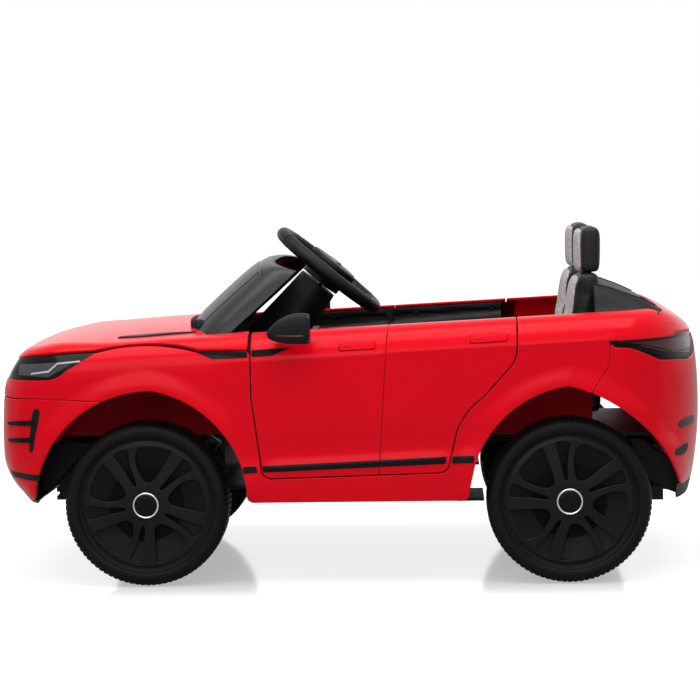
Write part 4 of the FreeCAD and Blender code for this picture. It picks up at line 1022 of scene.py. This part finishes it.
deck_side = legs((-356, 0), (-356, 172), (-342, 174), (-342, 236), (-432, 236), (-440, 205), (-442, 150), (-442, 0))
deck = sheet(deck_skin, [chain(deck_side, other_side(deck_side))], gap=0.0)
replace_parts(piece("deck_cover", deck, BLACK, "chassis"), "rear_deck_cover")
ridge = deck_skin(np.linspace(-344, -430, 40), np.full(40, RIDGE_Y)) + [0, 0, 0.2]
both("deck_ridge", tube(ridge, 1.4, 10), GLOSS, CHASSIS)


# Ends of the chassis, seen through the arches, and panels that close the gaps beside the tub
def prism(outline, y0, y1):
    outline = wound(np.asarray(outline, float))
    stations = ((y0, -2.0), (y0 + 2, 0), (y1 - 2, 0), (y1, -2.0))
    return lofted([at_y(grow(outline, by), y) for y, by in stations])


def shelf(x0, x1, z, thick=5.0):
    return [(x0, z), (x0, z + thick), (x1, z + thick), (x1, z)]


rib_from, rib_to = np.array([398.0, 188.0]), np.array([462.0, 119.0])
ribs = [(398, 196)]
for n in range(9):
    a = rib_from + (rib_to - rib_from) * n / 8.5
    ribs += [a, a + [4.0, -1.0], a + [5.5, -4.5]]
FRONT_BLOCK = ribs + [(466, 119), (480, 150), (488, 196)]
REAR_BLOCK = [(-392, 196), (-414, 196), (-430, 182), (-452, 168), (-466, 150), (-472, 138), (-470, 120), (-462, 114),
              (-452, 118), (-430, 122), (-418, 146)]
BULKHEAD = [(143, 128), (150, 128), (153, 180), (164, 232), (143, 236)]
WING = [(144, 128), (150, 128), (153, 180), (164, 232), (172, 300), (159, 300)]
for name, outline, y0, y1 in (
        ("front_chassis_end", FRONT_BLOCK, -146, 146), ("rear_chassis_end", REAR_BLOCK, -160, 160),
        ("front_bulkhead", BULKHEAD, -232, 232),
        ("wheel_house_left", WING, 222, 254), ("wheel_house_right", WING, -254, -222),
        ("seat_floor_left", shelf(-150, -181, 118), 150, 255), ("seat_floor_right", shelf(-150, -181, 118), -255, -150),
        ("arch_floor_left", shelf(-180, -300, 196), 158, 192), ("arch_floor_right", shelf(-180, -300, 196), -192, -158),
        ("cowl_floor", shelf(200, 262, 318), -225, 225)):
    solid(name, prism(outline, y0, y1), BLACK, sharp=30)

# Lamp covers, grille and front lip on the body surface, sunk a little and run under the skins around them
SUNK, UNDER = -1.3, 5.0


def mirrored_skin(name, loop, look_of, *replaced):
    data = sheet(body, [grow(wound(loop), UNDER)], gap=0.0, lift=SUNK)
    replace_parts(piece(name, joined(data, mirrored(data)), look_of, "chassis"), *replaced)


lamp_top = chain(sv(path((373, 337), (468, 331), (498, 326))), run(sv([(498, 326)]), at_grille(319)))
head_lamp_loop = chain(lamp_top, legs(lamp_top[-1], at_grille(301), sv([(438, 301)])), sv(lamp_low))
grille_loop = chain(legs(at_grille(319), at_nose(319, 512), at_nose(275, 524), at_grille(275), at_grille(319)))
tail_top_edge = sv(path((-358.5, 346), (-432, 348.2), (-455, 349), (-470, 348.7), (-508, 346), gap=2.0))
tail_lamp_loop = chain(
    tail_top_edge, legs(tail_top_edge[-1], at_lamp(345), at_lamp(320), sv_at(190, 314, -1), sv([(-431, 319)])),
    sv(path((-431, 319), ((-408, 330), (-388, 337)), (-367, 338.5), (-358.5, 344))))
lip_low = chain(legs(at_nose(108, 470), sv([(471, 110)]), lip_line[0]))
lip_loop = chain(lip_line, run(lip_line[-1], lip_low[0]), lip_low)
mirrored_skin("head_lamp_covers", head_lamp_loop, GLOSS, "head_lamp_lenses", "head_lamp_housings")
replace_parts(piece("grille_panel", across(grille_loop, S_NOSE, gap=0.0, lift=SUNK), GLOSS, "chassis"), "grille")
mirrored_skin("tail_lamp_covers", tail_lamp_loop, GLOSS, "tail_lamp_lenses", "tail_lamp_housings")
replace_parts(piece("front_lip_skin", across(lip_loop, S_NOSE, gap=0.6), GLOSS, "chassis"), "front_lip")
on_skin("head_lamp_reflector", sv([(482, 321), (484, 306), (436, 304), (413, 317), (396, 327)]), LENS, CHASSIS,
        lift=-0.5)
on_skin("tail_lamp_lens", sv([
    (-385, 344), (-432, 345), (-458, 346), (-478, 345), (-484, 328), (-455, 327), (-420, 337)]),
        RED_LENS, CHASSIS, lift=-0.5)
vent_plan = [(344, 224), (338, 217), (262, 214), (228, 222), (296, 231), (312, 231.5)]
vent = sheet(top_skin, [closed(vent_plan, 3.0)], grid=4.0, edge=1.2, thick=5.0, gap=0.0, lift=2.0, back=False)
piece("hood_vents", joined(vent, mirrored(vent)), BLACK, "chassis")

# Inner door trims: a panel with an arm rest, a rib at the false door line and screws
TRIM_Y, TRIM_TOP = 245.5, 371


def trim_face(x, z):
    rest = step(-5, 5, 337.5 + 0.05 * (20 - x) - z - 0.03 * x)
    rib = step(-6.5, -4.5, -np.abs(x + 40))
    rolled = step(352, 357, z + RAKE * x)
    out = np.maximum.reduce([4.5 * rest, 3.5 * rib, 2.5 * rolled])
    return np.stack([x, TRIM_Y - out * step(303, 312, z), z], -1)


trim_top = [(x, TRIM_TOP - RAKE * x) for x in (-228.6, 147.6)]
trim_loop = chain(door_line, legs(door_line[-1], *trim_top, door_line[0])[:-1])
replace_pair(pair("door_panel", sheet(trim_face, [trim_loop], grid=4.5, gap=15.0), BLACK, DOORS), "door_trim")
t = np.arange(20) * 2 * math.pi / 20
heads = [lofted([
    np.stack([x + r * np.cos(t), np.full(20, y), z + r * np.sin(t)], 1)
    for y, r in ((245, 4.2), (242, 4.2), (241.4, 3.6), (242, 2.2))]) for x, z in ((51, 355), (-82, 361), (-205, 366))]
both("door_screws", joined(*heads), GLOSS, DOORS)

# Bright strips in the lamps
both("head_lamp_strip", skin_tube([(470, 330), (442, 332.5), (431, 343), (397, 344.5)], 1.5, 0.4), LED, CHASSIS)
both("tail_lamp_line", skin_tube([(-405, 321), (-441, 311), (-480, 305), (-548, 298)], 0.9, -0.4), RED_LENS, CHASSIS)

# Upholstery: closed forms blown up as cloth
PUFF_FRAMES, PRESSURE, PAD_FILL = 20, 4.0, 0.7


def evaluated_mesh(obj):
    shown = obj.evaluated_get(bpy.context.evaluated_depsgraph_get())
    return bpy.data.meshes.new_from_object(shown)


def points_of(mesh):
    flat = np.empty(3 * len(mesh.vertices))
    mesh.vertices.foreach_get("co", flat)
    return flat.reshape(-1, 3)


def puffed(name, data, look_of, cap, voxel):
    """An even mesh of the form, blown up by at most cap and then smoothed."""
    obj = piece(name, data, look_of, "chassis")
    remesh = obj.modifiers.new("remesh", "REMESH")
    remesh.mode = "VOXEL"
    remesh.voxel_size = voxel * MM
    obj.data = evaluated_mesh(obj)
    obj.modifiers.clear()
    start = points_of(obj.data)
    cloth = obj.modifiers.new("cloth", "CLOTH")
    cloth.settings.use_pressure = True
    cloth.settings.uniform_pressure_force = PRESSURE
    cloth.settings.effector_weights.gravity = 0.0
    for number in range(1, PUFF_FRAMES + 1):
        scene.frame_set(number)
    moved = points_of(evaluated_mesh(obj)) - start
    obj.modifiers.clear()
    scene.frame_set(1)
    far = np.linalg.norm(moved, axis=1)[:, None]
    moved *= np.minimum(1, cap * MM / np.maximum(far, 1e-9))
    obj.data.vertices.foreach_set("co", (start + moved).ravel())
    smooth = obj.modifiers.new("smooth", "SUBSURF")
    smooth.levels = 1
    smooth.render_levels = 1
    obj.data = evaluated_mesh(obj)
    obj.modifiers.clear()
    obj.data.polygons.foreach_set("use_smooth", [True] * len(obj.data.polygons))
    obj.data.materials.clear()
    obj.data.materials.append(look_of)
    return obj


def mirror_copy(obj, name):
    mesh = obj.data.copy()
    mesh.vertices.foreach_set("co", (points_of(mesh) * FLIP).ravel())
    mesh.flip_normals()
    made = bpy.data.objects.new(name, mesh)
    scene.collection.objects.link(made)
    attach(made, "chassis")


def slab_form(profile, y0, y1, round_by):
    """A slab between two sides, with rounded rims."""
    profile = wound(np.asarray(profile, float))
    stations = ((0, 1), (0.3, 0.3), (1, 0))
    rows = [(y0 + d * round_by, k * round_by) for d, k in stations]
    rows += [(y1 - d * round_by, k * round_by) for d, k in stations[::-1]]
    return lofted([at_y(grow(profile, -shrink), y) for y, shrink in rows])


def pad_form(line, z0, z1, y0, y1, depth):
    """A crowned pad in front of a line in side view."""
    line = np.asarray(line, float)
    u = np.linspace(-1, 1, 25)
    rows = []
    for place in np.linspace(-1, 1, 13):
        bulge = 0.1 + 0.9 * math.sqrt(1 - abs(place) ** 3)
        z = (z0 + z1) / 2 + (z1 - z0) / 2 * u * (0.88 + 0.12 * bulge)
        x = np.interp(z, line[:, 1], line[:, 0])
        front = x + depth * bulge * (0.1 + 0.9 * np.sqrt(1 - np.abs(u) ** 5))
        loop = np.vstack([np.stack([front, z], 1), np.stack([x - 3, z], 1)[::-1]])
        rows.append(at_y(loop, (y0 + y1) / 2 + place * (y1 - y0) / 2))
    return lofted(rows)


BACK_FRONT = [(-314, 234), (-314, 366), (-317, 378), (-320.5, 408)]
BACK_FORM = BACK_FRONT + [(-324, 433), (-328, 438.5), (-345, 439.5), (-351, 435), (-352, 404), (-352, 234)]
BACK_LINE = BACK_FRONT + [(-324, 436)]
HEAD_FORM = [(-327.5, 442), (-327, 470), (-327.5, 497), (-331, 502.5), (-338, 504.5), (-350, 503.5), (-355, 497),
             (-354, 442), (-350, 438.5), (-331, 438.5)]
HEAD_LINE = [(-327, 436), (-327, 505)]
CUSHION = [(-288, 241), (-101, 241), (-101, 256), (-108, 260), (-281, 260), (-288, 256)]
for name, form, look_of, cap, voxel, replaced in (
        ("seat_back", slab_form(BACK_FORM, 52, 166, 7), LEATHER, 3.0, 5.0, "seat_back"),
        ("head_rest", slab_form(HEAD_FORM, 58, 162, 5), LEATHER, 2.5, 5.0, None),
        ("back_pad", pad_form(BACK_LINE, 270, 436, 62, 154, 9.5), LINEN, 2.0, 4.0, "seat_back_pads"),
        ("head_pad", pad_form(HEAD_LINE, 437, 501, 66, 152, 7.5), LINEN, 2.0, 4.0, None)):
    first = puffed(name + "_left", form, look_of, cap, voxel)
    if replaced:
        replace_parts(first, replaced)
    mirror_copy(first, name + "_right")
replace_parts(puffed("bench_cushion", slab_form(CUSHION, -164, 164, 7), LEATHER, 5.0, 5.0), "seat_cushion")

# Materials of the CAD nodes that keep their shape
PAINT = {
    BLACK: ["chassis_tub", "rear_diffuser", "dashboard", "column_cover", "seat_pan", "gearbox_cases", "control_box",
            "foot_pedal", "direction_switch", "steering_wheel", "steering_hub_pad"],
    STEEL: ["door_hinge_pins", "front_axle_beam", "king_pins", "knuckle_left", "knuckle_right", "tie_rod",
            "steering_shaft", "rear_axle", "rear_axle_nuts", "drive_motors"],
    GEAR: ["drive_gear_left", "drive_gear_right", "motor_pinion_left", "motor_pinion_right"],
    GLASS: ["mirror_glass_left", "mirror_glass_right"],
    BATTERY: ["battery"],
    BUTTON: ["power_button", "horn_button"],
}
for look_of, names in PAINT.items():
    for name in names:
        nodes[name].data.materials.clear()
        nodes[name].data.materials.append(look_of)

# Floor: pale, with a reflection and a shadow under the car that fade to white beside it
FLOOR_HALF, FADE_FROM, FADE_TO = 9, 0.27, 0.46
WHITE = (1, 1, 1, 1)
floor_mat, tree, shader = new_material("studio_floor")
place = tree.nodes.new("ShaderNodeSeparateXYZ")
feed(tree, place, {0: add(tree, "TexCoord", "Object", {})})
beside = add(tree, "Math", 0, {0: place.outputs["Y"]}, operation="ABSOLUTE")


def across_floor(near, far):
    span = {"Value": beside, "From Min": FADE_FROM, "From Max": FADE_TO, "To Min": near, "To Max": far}
    return add(tree, "MapRange", "Result", span, interpolation_type="SMOOTHSTEP")


seen = add(tree, "LightPath", "Is Camera Ray", {})
feed(tree, shader, {
    "Base Color": ramp(tree, noise(tree, 3), (0.44,) * 3, (0.46,) * 3), "Roughness": 0.11,
    "Specular IOR Level": across_floor(0.5, 0.0), "Emission Color": WHITE,
    "Emission Strength": add(tree, "Math", 0, {0: seen, 1: across_floor(0.43, 1.0)}, operation="MULTIPLY")})
mesh = bpy.data.meshes.new("studio_floor")
corners = [(a * FLOOR_HALF, b * FLOOR_HALF, 0) for a, b in ((-1, -1), (1, -1), (1, 1), (-1, 1))]
mesh.from_pydata(corners, [], [(0, 1, 2, 3)])
mesh.materials.append(floor_mat)
floor = bpy.data.objects.new("studio_floor", mesh)
scene.collection.objects.link(floor)

# Surround: white where it is seen or reflected, and dimmer as a light
world = bpy.data.worlds.new("studio")
scene.world = world
world.use_nodes = True
tree = world.node_tree
tree.nodes.clear()
rays = tree.nodes.new("ShaderNodeLightPath")
seen = rays.outputs["Is Camera Ray"]
for name in ("Is Glossy Ray", "Is Transmission Ray"):
    seen = add(tree, "Math", 0, {0: seen, 1: rays.outputs[name]}, operation="MAXIMUM")
dim, white = (add(tree, "Background", 0, {"Color": WHITE, "Strength": level}) for level in (0.45, 1.0))
surface = add(tree, "MixShader", 0, {"Fac": seen, 1: dim, 2: white})
feed(tree, tree.nodes.new("ShaderNodeOutputWorld"), {"Surface": surface})


def area(name, at, aim, width, height, power):
    lamp = bpy.data.lights.new(name, "AREA")
    lamp.shape = "RECTANGLE"
    lamp.size = width
    lamp.size_y = height
    lamp.energy = power
    obj = bpy.data.objects.new(name, lamp)
    obj.location = at
    obj.rotation_euler = (Vector(aim) - Vector(at)).to_track_quat("-Z", "Y").to_euler()
    scene.collection.objects.link(obj)


area("overhead", (0.0, 0.8, 2.5), (0, 0, 0.2), 3.2, 1.7, 72)
area("front_fill", (0.6, 3.6, 1.7), (0, 0, 0.25), 2.6, 1.6, 31)
